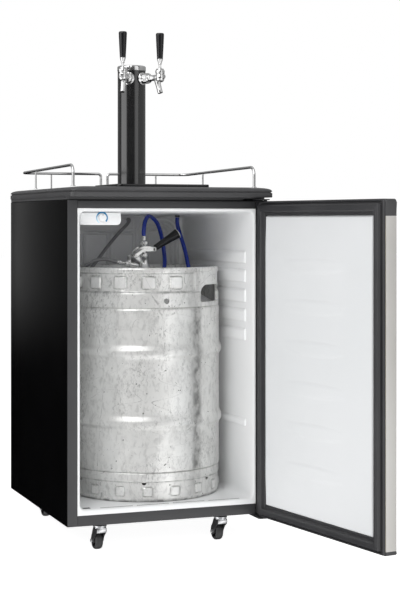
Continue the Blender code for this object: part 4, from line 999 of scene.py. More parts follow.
def tap_place(side):
    """Frame on a tap's lever pivot that looks out along -Y."""
    way = Vector(JOINTS["tap_lever_" + side]["axis"])
    return joint_place("tap_lever_" + side, math.atan2(way.y, way.x))


def shank_place(side):
    """Frame where the shank's axis crosses the tower's, looking out along -Y."""
    reach = (Vector(JOINTS["tap_lever_" + side]["pos_m"]) - CAB - TOWER)
    reach.z = 0
    return tap_place(side) @ Matrix.Translation((0, reach.length, -0.020))


def knurled(radius, y0, y1, teeth, depth=0.0005):
    """Ring of flutes about the Y axis, with its rims eased."""
    loops = []
    for y, inset in ((y0, 0.0010), (y0 - 0.0008, 0.0), (y1 + 0.0008, 0.0), (y1, 0.0010)):
        loop = []
        for i in range(teeth * 6):
            a = math.tau * i / (teeth * 6)
            r = radius - inset - depth * (0.5 - 0.5 * math.cos(teeth * a))
            loop.append((r * math.cos(a), y, r * math.sin(a)))
        loops.append(loop)
    return skin(loops)


def build_tap(side):
    """Faucet: tower collar, coupling nut, arched body, spout, lever, ferrule and handle."""
    place = shank_place(side)
    reach = -(place.inverted() @ tap_place(side).translation).y
    wall = span("tower_column")[1].x - TOWER.x
    collar = turned([(0, 0.027), (0.0108, 0.027), (0.0108, wall + GAP),
                     (0.0170, wall + GAP), (0.0172, wall + 0.0010), (0.0166, wall + 0.0022),
                     (0.0150, wall + 0.0030), (0.0140, wall + 0.0036),
                     (0.0138, wall + 0.0070), (0.0126, wall + 0.0084),
                     (0.0124, wall + 0.0108), (0, wall + 0.0108)], 64, "-Y")
    barb = turned([(0, -0.022), (0.0030, -0.022), (0.0036, -0.019), (0.0030, -0.0185),
                   (0.0036, -0.015), (0.0036, -0.004), (0, -0.004)], 24,
                  centre=(0, -0.029, 0))
    piece("shank_set_" + side, join(collar, barb), CHROME, stands_for="shank_" + side,
          place=place)
    neck = turned([(0, 0.0595), (0.0128, 0.0595), (0.0128, 0.0612), (0.0108, 0.0622),
                   (0.0094, 0.0640), (0.0083, 0.0680), (0.0078, 0.0730), (0.0079, 0.0790),
                   (0.0086, 0.0850), (0.0094, 0.0900), (0.0094, reach), (0, reach)], 48, "-Y")
    head = turned([(0, -0.0128), (0.0050, -0.0126), (0.0085, -0.0112), (0.0108, -0.0080),
                   (0.0119, -0.0035), (0.0118, 0.0010), (0.0108, 0.0060), (0.0101, 0.0085),
                   (0.0104, 0.0096), (0.0122, 0.0102), (0.0126, 0.0112), (0.0126, 0.0122),
                   (0.0118, 0.0128), (0.0118, 0.0134), (0.0126, 0.0140), (0.0126, 0.0176),
                   (0.0119, 0.0188), (0.0106, 0.0200), (0.0098, 0.0228), (0.0088, 0.0232),
                   (0, 0.0232)], 64, centre=(0, -reach, 0))
    foot, tip = Vector((0, -reach + 0.0105, -0.004)), Vector((0, -reach - 0.0015, -0.0415))
    lean, length = aim(foot, tip)
    spout = turned([(0, 0), (0.0076, 0), (0.0080, 0.008), (0.0072, 0.016), (0.0069, 0.030),
                    (0.0070, length - 0.0012), (0.0066, length), (0, length)], 48)
    moved(spout, lean)
    seat = turned([(0, 0), (0.0052, 0), (0.0052, 0.0100), (0.0062, 0.0106), (0.0064, 0.0114),
                   (0.0064, 0.0136), (0.0052, 0.0150), (0.0024, 0.0156), (0, 0.0156)], 40,
                  "-Y", (0, -reach, 0.002))
    solid = carve(neck, head, spout, seat, operation="UNION")
    ball = bmesh.new()
    bmesh.ops.create_uvsphere(ball, u_segments=32, v_segments=16, radius=0.0079,
                              matrix=Matrix.Translation((0, -reach, 0.020)))
    bore = bar(tip + (tip - foot) * 0.1, tip.lerp(foot, 0.018 / length), 0.0052, steps=32)
    solid = carve(solid, ball, bore)
    nut = knurled(0.0142, -0.0488, -0.0596, 18)
    piece("faucet_" + side, join(solid, nut), CHROME, stands_for="faucet_body_" + side,
          place=place)
    place = tap_place(side)
    body = "tap_" + side
    ball = bmesh.new()
    bmesh.ops.create_uvsphere(ball, u_segments=32, v_segments=20, radius=0.0070)
    stem = turned([(0, 0.001), (0.0033, 0.001), (0.0033, 0.0140), (0.0040, 0.0150),
                   (0.0049, 0.0154), (0.0050, 0.0168), (0.0044, 0.0178), (0.0048, 0.0192),
                   (0.0062, 0.0225), (0.0074, 0.0265), (0.0078, 0.0285), (0.0076, 0.0290),
                   (0, 0.0290)], 48)
    piece("lever_" + side, join(ball, stem), CHROME, body=body,
          stands_for="tap_lever_" + side, place=place)
    grip = turned([(0, 0.0293), (0.0078, 0.0293), (0.0080, 0.0300), (0.0081, 0.0340),
                   (0.0096, 0.0620), (0.0109, 0.0915), (0.0109, 0.0945), (0.0103, 0.0965),
                   (0.0090, 0.0977), (0.0070, 0.0980), (0, 0.0980)], 48)
    piece("handle_" + side, grip, SMOOTH_PLASTIC, body=body,
          stands_for="tap_handle_" + side, place=place)


# ---------------------------------------------------------------- keg and coupler
KEG_R, CHIME_R, KEG_TOP = 0.2005, 0.197, 0.594
KEG_PLACE = HOME @ Matrix.Translation((KEG.x, KEG.y, KEG_Z))
COLUMNS = 420                                      # facets round the keg
PANEL_Z, PANEL_BEARING, PANEL_HALF = 0.5555, -137.6, math.radians(71) * CHIME_R
SQUARE_BEARING, SQUARE_PITCH, TOP_GROOVE = -83.6, 21.6, 0.5300
FOOT_Z, FOOT_BEARING, FOOT_PITCH, FOOT_GROOVE = 0.026, -105.8, 360 / 17, 0.0505
HAND_HOLE, HAND_HOLE_Z = 0.0590, 0.5075            # half its width, and its lower edge
SEAM_DIRT = ((288.5, 293.0), (295.5, 300.5))       # bearings where it fades in and out


def soft_box(across, up, half_across, half_up, corner):
    """Signed distance inside a rounded rectangle; positive within."""
    a, b = abs(across) - half_across + corner, abs(up) - half_up + corner
    return corner - math.hypot(max(a, 0.0), max(b, 0.0)) - min(max(a, b), 0.0)


def arc_from(angle, centre):
    """Signed way along the wall from one bearing to another, in metres."""
    return math.radians((angle - centre + 180) % 360 - 180) * CHIME_R


def top_outlines(angle, z):
    """Distances inside the upper chime's pressed panel and inside its nearest square."""
    up, turns = z - PANEL_Z, (0, 180)
    panels = [soft_box(arc_from(angle, PANEL_BEARING + turn), up, PANEL_HALF, 0.0245, 0.006)
              for turn in turns]
    squares = [soft_box(arc_from(angle, SQUARE_BEARING - SQUARE_PITCH * k + turn), up, 0.0176,
                        0.0158, 0.005) for turn in turns for k in range(6)]
    return max(panels), max(squares)


def top_relief(angle, z):
    """Pressed panel of the upper chime with its row of raised squares."""
    panel, square = top_outlines(angle, z)
    return 0.0027 * smoothstep(-0.0006, 0.0016, square) \
        - 0.0012 * math.exp(-((square + 0.0008) / 0.0012) ** 2) \
        - 0.0030 * smoothstep(-0.0008, 0.0018, panel)


def top_dirt_and_highlight(angle, z):
    """Dirt in the grooves of the upper chime; below 0 on the raised squares' faces, a painted
    highlight.
    """
    panel, square = top_outlines(angle, z)
    dirt = max(math.exp(-((z - TOP_GROOVE) / 0.0014) ** 2),
               math.exp(-((panel - 0.0014) / 0.0014) ** 2),
               math.exp(-((square + 0.0004) / 0.0017) ** 2))
    # Painted highlight: the raised squares' faces are pushed below 0.
    return dirt - 0.8 * smoothstep(0.0020, 0.0040, square)


def foot_outline(angle, z):
    """Distance inside the lower chime's nearest raised square."""
    across = (angle - FOOT_BEARING + FOOT_PITCH / 2) % FOOT_PITCH - FOOT_PITCH / 2
    return soft_box(arc_from(across, 0), z - FOOT_Z, 0.0120, 0.0115, 0.004)


def foot_relief(angle, z):
    """Row of small raised squares round the lower chime."""
    square = foot_outline(angle, z)
    return 0.0022 * smoothstep(-0.0006, 0.0016, square) \
        - 0.0011 * math.exp(-((square + 0.0006) / 0.0012) ** 2)


def foot_dirt_shadow_highlight(angle, z):
    """Dirt round those squares and in the groove above them; painted shadow along the lower
    edge; below 0 on the squares' faces, a painted highlight.
    """
    square = foot_outline(angle, z)
    # Painted shadow: the third term darkens a band along the keg's bottom edge; the subtracted
    # term paints a highlight on the squares' faces.
    return max(math.exp(-((square + 0.0004) / 0.0015) ** 2),
               math.exp(-((z - FOOT_GROOVE) / 0.0013) ** 2),
               1.4 * smoothstep(0.0090, 0.0030, z)) \
        - 0.7 * smoothstep(0.0015, 0.0035, square)


def wall_radius(z):
    """Keg wall between the chimes: two rolled ribs on a straight barrel."""
    rib = sum(smoothstep(low, low + 0.012, z) * (1 - smoothstep(low + 0.020, low + 0.038, z))
              for low in (0.182, 0.361))
    return KEG_R + 0.0056 * rib


def knocks(angle, z, size=0.0007):
    a = math.radians(angle)
    return size * noise.noise(Vector((math.cos(a) * 4.0, math.sin(a) * 4.0, z * 16.0))) \
        + size * 0.35 * noise.noise(Vector((math.cos(a) * 14.0, math.sin(a) * 14.0, z * 60.0)))


def heights(*stretches):
    """Heights at an even pitch over several stretches."""
    out = []
    for low, high, pitch in stretches:
        count = max(round((high - low) / pitch), 1)
        out += [low + (high - low) * i / count for i in range(count)]
    return out + [stretches[-1][1]]


def spun(rows, closed):
    """Skin of rings; each row is (height, radius as a number or as a function of bearing)."""
    bm = bmesh.new()
    rings = []
    for z, radius in rows:
        if not callable(radius) and radius < 1e-6:
            rings.append([bm.verts.new((0, 0, z))])
            continue
        ring = []
        for i in range(COLUMNS):
            angle = 360.0 * i / COLUMNS
            r = radius(angle) if callable(radius) else radius
            a = math.radians(angle)
            ring.append(bm.verts.new((r * math.cos(a), r * math.sin(a), z)))
        rings.append(ring)
    stitch(bm, rings, closed)
    return bm


def through(outline, bearing, near=0.180):
    """Cutter that passes through the wall at a bearing; the outline is (across, height)."""
    a = math.radians(bearing)
    out, side = Vector((math.cos(a), math.sin(a), 0)), Vector((-math.sin(a), math.cos(a), 0))
    return skin([[out * r + side * across + Vector((0, 0, z)) for across, z in outline]
                 for r in (near, 0.220)])


def mark_dirt_and_painted_light(made, amount):
    """Store each keg vertex's dirt, painted shadow and painted highlight, for its material."""
    dirt = made.data.attributes.new("dirt_shade_and_highlight", "FLOAT", "POINT")
    back = KEG_PLACE.inverted()
    for vertex, item in zip(made.data.vertices, dirt.data):
        p = back @ vertex.co
        item.value = amount(math.degrees(math.atan2(p.y, p.x)) % 360, p.z)


def build_keg():
    """Scuffed half-barrel: ribbed wall with domed heads, and two pressed, pierced chimes."""
    rows = [(0.040, 0.0), (0.042, 0.060), (0.049, 0.110), (0.064, 0.155), (0.080, 0.1840),
            (0.0790, 0.1900), (0.0770, 0.1955), (0.0745, 0.1985)]
    for z in heights((0.0750, 0.0790, 0.0010), (0.0790, 0.176, 0.0060), (0.176, 0.228, 0.0020),
                     (0.228, 0.355, 0.0060), (0.355, 0.407, 0.0020), (0.407, 0.480, 0.0060),
                     (0.480, 0.4885, 0.0017)):
        fall = smoothstep(0.0745, 0.0775, z) * (1 - smoothstep(0.4860, 0.4900, z))
        rows.append((z, lambda angle, z=z, fall=fall:
                     wall_radius(z) - 0.0022 * (1 - fall) + knocks(angle, z) * fall))
    rows += [(0.4910, 0.1975), (0.4950, 0.1925), (0.4985, 0.1860), (0.5160, 0.155),
             (0.5330, 0.125), (0.5430, 0.100), (0.5500, 0.070), (0.5535, 0.045),
             (0.5545, 0.0345), (0.5560, 0.0335), (0.5630, 0.0335), (0.5640, 0.0330),
             (0.5640, 0.0290), (0.5632, 0.0285), (0.5490, 0.0285), (0.5490, 0.0)]
    wall = piece("keg_wall", spun(rows, False), KEG_STEEL, stands_for="keg_body",
                 place=KEG_PLACE, smooth=40)
    fade_in, fade_out = SEAM_DIRT
    mark_dirt_and_painted_light(wall, lambda angle, z: smoothstep(*fade_in, angle)
              * (1 - smoothstep(*fade_out, angle)))

    rows = [(z, lambda angle, z=z: CHIME_R + 0.0016 * smoothstep(0.536, 0.528, z)
             - 0.0009 * math.exp(-((z - TOP_GROOVE) / 0.0016) ** 2)
             + top_relief(angle, z) + knocks(angle, z, 0.0005))
            for z in heights((0.4925, 0.5300, 0.0018), (0.5300, 0.5830, 0.0014),
                             (0.5830, 0.5885, 0.0018))]
    rows += [(0.5905, 0.1969), (0.5922, 0.1962), (0.5934, 0.1950), (KEG_TOP, 0.1938),
             (0.5936, 0.1924), (0.5924, 0.1912), (0.5900, 0.1903), (0.5800, 0.1900),
             (0.5400, 0.1898), (0.4960, 0.1898), (0.4925, 0.1925)]
    ring = spun(rows, True)
    hole = [*arc(0.004 - HAND_HOLE, HAND_HOLE_Z, 0.004, 180, 270, 3),
            *arc(HAND_HOLE - 0.004, HAND_HOLE_Z, 0.004, 270, 360, 3),
            *arc(HAND_HOLE - 0.028, HAND_HOLE_Z + 0.0125, 0.028, 0, 90, 8),
            *arc(0.028 - HAND_HOLE, HAND_HOLE_Z + 0.0125, 0.028, 90, 180, 8)]
    cutters = [through(hole, bearing) for bearing in (-44, 136)]
    cutters += [through(arc(0, 0.509, 0.0072, 0, 345, 23), bearing) for bearing in (-91.8, 88.2)]
    top = piece("keg_top_chime", carve(ring, *cutters), KEG_STEEL, place=KEG_PLACE, smooth=40)
    mark_dirt_and_painted_light(top, lambda angle, z: 0.8 * top_dirt_and_highlight(angle, z))

    rows = [(0.0745, 0.1900), (0.0040, 0.1900), (0.0015, 0.1906), (0.0003, 0.1916),
            (0.0, 0.1928), (0.0004, 0.1942), (0.0016, 0.1956), (0.0036, 0.1966),
            (0.0070, 0.1970)]
    rows += [(z, lambda angle, z=z: CHIME_R + 0.0018 * smoothstep(0.0490, 0.0535, z)
              - 0.0007 * math.exp(-((z - FOOT_GROOVE) / 0.0013) ** 2)
              + foot_relief(angle, z) + knocks(angle, z, 0.0005))
             for z in heights((0.0090, 0.0450, 0.0014), (0.0450, 0.0560, 0.0011),
                              (0.0560, 0.0715, 0.0018))]
    rows += [(0.0735, 0.1975), (0.0745, 0.1950)]
    drains = [through(arc(0, 0.0490, 0.0060, 180, 360, 10), -53 - 55.6 * k, 0.187)
              for k in range(6)]
    foot = piece("keg_bottom_chime", carve(spun(rows, True), *drains), KEG_STEEL,
                 place=KEG_PLACE, smooth=40)
    mark_dirt_and_painted_light(foot, lambda angle, z: 0.8 * foot_dirt_shadow_highlight(angle, z))
    dress(PLAIN_STEEL, "keg_valve")


def build_coupler():
    """Lever coupler: body with its lugs and gas tail, relief stub, arched yoke and probe."""
    axis = Vector(JOINTS["coupler_lever"]["pos_m"]) - CAB
    x, y = KEG.x, KEG.y
    seat = span("coupler_body")[0].z
    column = turned([(0.0083, seat), (0.0325, seat), (0.0329, seat + 0.0008),
                     (0.0329, seat + 0.0070), (0.0318, seat + 0.0096),
                     (0.0285, seat + 0.0118), (0.0230, seat + 0.0136),
                     (0.0184, seat + 0.0176), (0.0160, seat + 0.0218),
                     (0.0134, seat + 0.0262), (0.0122, seat + 0.0290),
                     (0.0114, seat + 0.0320), (0.0112, 0.6560), (0.0119, 0.6572),
                     (0.0119, 0.6610), (0.0112, 0.6622), (0.0112, 0.6672), (0.0106, 0.6680),
                     (0.0083, 0.6680), (0.0083, seat)], 64, centre=(x, y, 0))
    lug = prism([(0.2425, 0.6520), (0.2425, 0.6610), *arc(0.2485, 0.6610, 0.0056, 180, 90, 5),
                 (0.2550, 0.6665), (0.2640, 0.6600), (0.2680, 0.6540), (0.2680, 0.6280),
                 (0.2600, 0.6280), (0.2520, 0.6400)], y - 0.008, y + 0.008, "Y", 0.0012)
    pin = bar((axis.x, y - 0.0194, axis.z), (axis.x, y + 0.0194, axis.z), 0.0030)
    root, end = Vector((0.258, 0.2283, 0.634)), Vector((0.197, 0.215, 0.646))
    lean, length = aim(root, end)
    tail = turned([(0, 0), (0.0072, 0), (0.0072, 0.0215), (0.0066, 0.0225), (0.0066, 0.0240),
                   (0.0072, 0.0250), (0.0072, 0.0370), (0.0060, 0.0392), (0.0040, 0.0396),
                   (0.0047, 0.0460), (0.0040, 0.0462), (0.0047, 0.0530), (0.0040, 0.0532),
                   (0.0047, 0.0600), (0.0036, length), (0, length)], 40)
    moved(tail, lean)
    stub = span("relief_valve")[0]
    mid = (stub + span("relief_valve")[1]) / 2
    boss = turned([(0, 0.6360), (0.0056, 0.6360), (0.0056, 0.6460), (0.0052, 0.6468),
                   (0.0052, stub.z - GAP), (0, stub.z - GAP)], 40, centre=(mid.x, mid.y, 0))
    piece("coupler_casting", join(column, lug, pin, tail, boss), DULL_CHROME,
          stands_for="coupler_body")
    ring = turned([(0, 0.6503), (0.0046, 0.6503), (0.0048, 0.6508), (0.0048, 0.6578),
                   (0.0056, 0.6592), (0.0062, 0.6602), (0.0062, 0.6624), (0.0056, 0.6632),
                   (0.0030, 0.6640), (0, 0.6640)], 40, centre=(mid.x, mid.y, 0))
    piece("relief_stub", ring, DULL_CHROME, body="relief_valve", stands_for="relief_valve")
    along = (end - root).normalized()
    clamp_place = aim(root + along * 0.0555, end)[0]
    clamp = turned([(0.0057, -0.0035), (0.0064, -0.0035), (0.0068, -0.0028),
                    (0.0068, 0.0028), (0.0064, 0.0035), (0.0057, 0.0035),
                    (0.0057, -0.0035)], 40)
    moved(clamp, clamp_place)
    piece("gas_hose_clamp", clamp, CHROME)

    place = Matrix.Translation(JOINTS["coupler_lever"]["pos_m"])
    arch = [*arc(0, 0, 0.0075, 150, 210, 4), (-0.0010, -0.0062), (0.0035, -0.0050),
            (0.0075, 0.0005), (0.0130, 0.0082), (0.0195, 0.0125), (0.0275, 0.0146),
            (0.0360, 0.0140), (0.0470, 0.0110), (0.0545, 0.0118), (0.0552, 0.0180),
            (0.0545, 0.0232), (0.0470, 0.0246), (0.0350, 0.0270), (0.0220, 0.0266),
            (0.0120, 0.0232), (0.0045, 0.0172), (-0.0010, 0.0095)]
    arms = [prism(arch, start, start + 0.006, "Y", 0.0017, 3) for start in (0.0125, -0.0185)]
    bridge = box(0.0465, 0.0578, -0.0185, 0.0185, 0.0115, 0.0238, 0.0024, 4)
    slope = Vector((math.cos(math.radians(31)), 0, math.sin(math.radians(31))))
    start = Vector((0.053, 0, 0.0172))
    neck = bar(start, start + slope * 0.024, 0.0050)
    bore = turned([(0, -0.03), (0.0036, -0.03), (0.0036, 0.03), (0, 0.03)], 24, "Y")
    yoke = carve(arms[0], arms[1], bridge, neck, operation="UNION")
    piece("coupler_yoke", carve(yoke, bore), DULL_CHROME, body="coupler_lever",
          stands_for="coupler_handle", place=place, smooth=50)
    grip_place = aim(start + slope * 0.0080, start + slope)[0]
    grip = turned([(0, 0.0190), (0.0054, 0.0190), (0.0054, 0), (0.0074, 0),
                   (0.0079, 0.0008), (0.0082, 0.0060), (0.0092, 0.0240), (0.0108, 0.0480),
                   (0.0124, 0.0660), (0.0132, 0.0712), (0.0133, 0.0734), (0.0127, 0.0748),
                   (0.0110, 0.0755), (0, 0.0755)], 48)
    moved(grip, grip_place)
    piece("coupler_handgrip", grip, SMOOTH_PLASTIC, body="coupler_lever",
          stands_for="coupler_grip", place=place)
    rim = turned([(0.0112, 0.0756), (0.0129, 0.0748), (0.0136, 0.0733), (0.0140, 0.0738),
                  (0.0134, 0.0755), (0.0116, 0.0764), (0.0112, 0.0756)], 48)
    moved(rim, grip_place)
    piece("grip_rim", rim, DULL_CHROME, body="coupler_lever", place=place)
    probe = turned([(0, 0.6280), (0.0066, 0.6280), (0.0070, 0.6286), (0.0070, 0.6880),
                    (0.0078, 0.6888), (0.0112, 0.6896), (0.0120, 0.6904), (0.0120, 0.6920),
                    (0.0113, 0.6925), (0.0113, 0.6965), (0.0120, 0.6970), (0.0120, 0.6986),
                    (0.0100, 0.7000), (0.0072, 0.7012), (0.0066, 0.7030), (0.0066, 0.7095),
                    (0.0058, 0.7125), (0, 0.7125)], 48, centre=(x, y, 0))
    nut = knurled(0.0122, 0.6926, 0.6964, 16, 0.0006)
    moved(nut, Matrix.Translation((x, y, 0))
                        @ Matrix.Rotation(math.pi / 2, 4, "X"))
    piece("coupler_stem", join(probe, nut), DULL_CHROME, body="coupler_probe",
          stands_for="coupler_probe")


# ---------------------------------------------------------------- door
def door_loops(profile, low, high, widths):
    """Mitred ring: each profile point is an inset, scaled to each side, and a depth."""
    left, right, below, above = (width / 0.0365 for width in widths)
    loops = []
    for inset, y in profile:
        outline = rounded(low.x + inset * left, high.x - inset * right,
                          low.z + inset * below, high.z - inset * above,
                          max(0.0060 - inset * 0.25, 0.0012), 4)
        loops.append([(x, y, z) for x, z in outline])
    return loops


def panel_height(x, z, low, high, hinge):
    """Depth of the white panel: a round border, faint hips and six shallow arched swells."""
    edge = min(x - low.x, high.x - x, z - low.z, high.z - z)
    y = low.y + (high.y - low.y) * math.sin(min(edge / 0.0045, 1.0) * math.pi / 2)
    y -= 0.0016 * (1 - smoothstep(0.004, 0.085, min(z - low.z, high.z - z)))
    reach = (hinge - x - 0.130) / 0.255
    if 0.0 < reach < 1.0:
        arched = math.sin(math.pi * reach)
        for i in range(6):
            rise = z - (0.1438 + 0.0998 * i)
            top, bottom = 0.013 + 0.005 * arched, -0.007 - 0.011 * arched
            inside = min(top - rise, rise - bottom)
            y += 0.0019 * math.sqrt(arched) * smoothstep(-0.0012, 0.0040, inside)
    return y


def build_door():
    """Stainless wrap, textured caps, magnetic gasket and the moulded white panel."""
    low, high = span("door_skin", DOOR)
    x0, x1, front, inner = low.x, high.x, low.y, high.y
    wall = 0.0012
    wrap = prism(rounded(x0, x1, front, inner, 0.0028), low.z, high.z)
    wrap = carve(wrap, box(x0 + wall, x1 - wall, front + wall, inner + 0.01, -0.1, 0.9))
    piece("door_wrap", wrap, BRUSHED, body="door", stands_for="door_skin", place=DOOR)

    for name, node, corner in (("top", "door_top_cap", 0.0075), ("bottom", "door_bottom_cap",
                                                                 0.0030)):
        low, high = span(node, DOOR)
        a, b = (low.z, high.z) if name == "top" else (high.z, low.z)
        outline = [(x1, a), (x0, a), *[(x0 + corner - corner * math.sin(t), b + math.copysign(
            corner * (1 - math.cos(t)), a - b)) for t in (math.radians(90 - 15 * i)
                                                         for i in range(7))],
                   *[(x1 - corner + corner * math.sin(t), b + math.copysign(
                       corner * (1 - math.cos(t)), a - b)) for t in (math.radians(15 * i)
                                                                    for i in range(7))]]
        cap = prism(outline, front, inner, "Y", 0.0022, 4)
        if name == "top":
            pin = turned([(0, high.z - 0.016), (0.0046, high.z - 0.016),
                          (0.0046, high.z + 0.01), (0, high.z + 0.01)], 32)
            groove = box(x0 + 0.060, x1 - 0.090, front + 0.008, inner - 0.008,
                         high.z - 0.016, high.z + 0.01, 0.003)
            cap = carve(cap, pin, groove)
        else:
            cap = carve(cap, turned([(0, low.z - 0.01), (0.0046, low.z - 0.01),
                                     (0.0046, high.z - 0.0016), (0, high.z - 0.0016)], 32))
        piece("door_cap_" + name, cap, TOP_PLASTIC, body="door", stands_for=node, place=DOOR)

    low, high = span("door_liner", DOOR)
    widths = (0.0371, 0.0396, 0.0343, 0.0361)
    base = inner + GAP
    seal = span("door_gasket", DOOR)[1].y
    profile = [(0.0008, base), (0.0006, base + 0.0030), (0.0009, base + 0.0042),
               (0.0018, base + 0.0049), (0.0040, base + 0.0052), (0.0052, base + 0.0046),
               (0.0056, base + 0.0034), (0.0060, base + 0.0022), (0.0080, base + 0.0020),
               (0.0096, base + 0.0028), (0.0101, base + 0.0060), (0.0103, seal - 0.0028),
               (0.0110, seal - 0.0010), (0.0128, seal - 0.0001), (0.0145, seal - 0.0006),
               (0.0160, seal - 0.0006), (0.0176, seal), (0.0245, seal),
               (0.0262, seal - 0.0008), (0.0270, seal - 0.0026), (0.0274, base + 0.0068),
               (0.0284, base + 0.0054), (0.0305, base + 0.0050), (0.0330, base + 0.0056),
               (0.0352, base + 0.0056), (0.0362, base + 0.0046), (0.0365, base)]
    ring = skin(door_loops(profile, Vector((x0, 0, low.z)), Vector((x1, 0, high.z)), widths),
                closed=True)
    piece("door_seal", ring, GASKET, body="door", stands_for="door_gasket", place=DOOR,
          smooth=50)

    field_low = Vector((x0 + widths[0] + 0.0003, inner + 0.0030, low.z + widths[2] + 0.0003))
    field_high = Vector((x1 - widths[1] - 0.0003, high.y, high.z - widths[3] - 0.0003))
    steps = [0.0, 0.0006, 0.0014, 0.0024, 0.0036, 0.0050, 0.0080]

    def places(start, end, count):
        inner_part = [start + steps[-1] + (end - start - 2 * steps[-1]) * i / count
                      for i in range(1, count)]
        return [start + s for s in steps] + inner_part + [end - s for s in steps[::-1]]
    xs = places(field_low.x, field_high.x, 84)
    zs = places(field_low.z, field_high.z, 200)
    bm = bmesh.new()
    grid = [[bm.verts.new((x, panel_height(x, z, field_low, field_high, x1), z)) for x in xs]
            for z in zs]
    for row, above in zip(grid, grid[1:]):
        for i in range(len(xs) - 1):
            bm.faces.new((row[i], row[i + 1], above[i + 1], above[i]))
    rim = grid[0] + [row[-1] for row in grid[1:]] + grid[-1][-2::-1] \
        + [row[0] for row in grid[-2:0:-1]]
    back = [bm.verts.new((v.co.x, base, v.co.z)) for v in rim]
    for i in range(len(rim)):
        j = (i + 1) % len(rim)
        bm.faces.new((rim[i], rim[j], back[j], back[i]))
    bm.faces.new(back)
    piece("door_panel", bm, DOOR_WHITE, body="door", stands_for="door_liner", place=DOOR,
          smooth=50)


def build_hinges():
    """Hinge plates with round corners, their pins and screw heads."""
    low, high = span("hinge_bracket_top")
    pin = DOOR.translation - CAB
    plate = prism(rounded(low.x, high.x, low.y, high.y, 0.006), high.z - 0.0028, high.z,
                  bevel=0.0004)
    pins = bar((pin.x, pin.y, high.z - 0.001), (pin.x, pin.y, low.z), 0.0040)
    piece("upper_hinge", join(plate, pins), BLACK_METAL_AND_SHADE,
          stands_for="hinge_bracket_top")
    low, high = span("hinge_bracket_bottom")
    plate = prism(rounded(low.x, high.x, low.y, high.y, 0.006), low.z, low.z + 0.003,
                  bevel=0.0004)
    pad = box(low.x, high.x, 0.004, high.y, -0.0045, -GAP, 0.0008, 2)
    pins = bar((pin.x, pin.y, low.z + 0.001), (pin.x, pin.y, high.z), 0.0040)
    heads = [turned([(0, low.z - 0.0016), (0.0028, low.z - 0.0014), (0.0042, low.z - 0.0004),
                     (0.0044, low.z + 0.0005), (0, low.z + 0.0005)], 24,
                    centre=((low.x + high.x) / 2 + 0.002, y, 0)) for y in (0.014, 0.034)]
    piece("lower_hinge", join(plate, pad, pins, *heads), BLACK_METAL_AND_SHADE,
          stands_for="hinge_bracket_bottom")


# ---------------------------------------------------------------- casters
def build_caster(name):
    """Zinc swivel race and fork; the fork's side cheeks are black as painted shade;
    round-treaded wheel on its axle.
    """
    pivot = JOINTS["swivel_" + name]["pos_m"]
    place = Matrix.Translation((pivot[0], pivot[1], CAB.z))
    hub = Vector(JOINTS["roll_" + name]["pos_m"]) - place.translation
    trail, axle = hub.y, hub.z
    top, half, body = -0.0033, 0.0112, "caster_" + name
    race = turned([(0, top), (0.0164, top), (0.0170, top - 0.0006), (0.0170, top - 0.0026),
                   (0.0160, top - 0.0034), (0.0148, top - 0.0036), (0.0148, top - 0.0046),
                   (0.0156, top - 0.0050), (0.0156, top - 0.0066), (0.0146, top - 0.0074),
                   (0, top - 0.0074)], 48)
    crown = box(-half - 0.001, half + 0.001, -0.0130, 0.0125, top - 0.0090, top - 0.0058,
                0.0010, 2)
    nose = prism([(-0.0136, top - 0.0062), (-0.0148, top - 0.0100), (-0.0142, top - 0.0150),
                  (-0.0112, top - 0.0186), (-0.0098, top - 0.0178), (-0.0124, top - 0.0142),
                  (-0.0128, top - 0.0104), (-0.0118, top - 0.0062)],
                 -half - 0.0006, half + 0.0006, "X", 0.0004)
    bolt = bar((-half - 0.0042, trail, axle), (half + 0.0042, trail, axle), 0.0030)
    nuts = [prism([(trail + 0.0050 * math.cos(math.radians(60 * i)),
                    axle + 0.0050 * math.sin(math.radians(60 * i))) for i in range(6)],
                  min(s, s * 1.25), max(s, s * 1.25), "X", 0.0004)
            for s in (half + 0.0021, -half - 0.0021)]
    piece("caster_race_" + name, join(race, crown, nose, bolt, *nuts), ZINC, body=body,
          stands_for="caster_fork_" + name, place=place)
    # Painted shade: the zinc fork's side cheeks are made black where they lie in shade.
    cheek = [(-0.0135, top - 0.0060), (0.0130, top - 0.0060), (0.0200, top - 0.0150),
             (trail + 0.0078, axle + 0.0060), *arc(trail, axle, 0.0086, 30, -120, 8),
             (trail - 0.0070, axle - 0.0050), (0.0020, top - 0.0270), (-0.0110, top - 0.0190),
             (-0.0142, top - 0.0150), (-0.0146, top - 0.0100)]
    cheeks = [prism(cheek, start, start + 0.002, "X", 0.0004) for start in (half, -half - 0.002)]
    piece("caster_cheeks_" + name, join(*cheeks), BLACK_METAL_AND_SHADE, body=body, place=place)
    w, r = 0.0100, 0.0225
    place = Matrix.Translation(JOINTS["roll_" + name]["pos_m"])
    tread = turned([(0.0150, -w + 0.0006), (0.0178, -w), (0.0192, -w + 0.0002),
                    (0.0208, -w + 0.0014), (0.0219, -w + 0.0034), (0.0224, -w + 0.0060),
                    (r, -0.0020), (r, 0.0020), (0.0224, w - 0.0060), (0.0219, w - 0.0034),
                    (0.0208, w - 0.0014), (0.0192, w - 0.0002), (0.0178, w),
                    (0.0150, w - 0.0006), (0.0150, -w + 0.0006)], 64, "X")
    disc = turned([(0.0034, -w - 0.0004), (0.0070, -w - 0.0004), (0.0074, -w + 0.0006),
                   (0.0080, -w + 0.0026), (0.0140, -w + 0.0026), (0.0146, -w + 0.0010),
                   (0.0156, -w + 0.0004), (0.0156, w - 0.0004), (0.0146, w - 0.0010),
                   (0.0140, w - 0.0026), (0.0080, w - 0.0026), (0.0074, w - 0.0006),
                   (0.0070, w + 0.0004), (0.0034, w + 0.0004), (0.0034, -w - 0.0004)], 48, "X")
    piece("wheel_tread_" + name, tread, TYRE, body="wheel_" + name,
          stands_for="caster_wheel_" + name, place=place)
    piece("wheel_disc_" + name, disc, SMOOTH_PLASTIC, body="wheel_" + name, place=place)


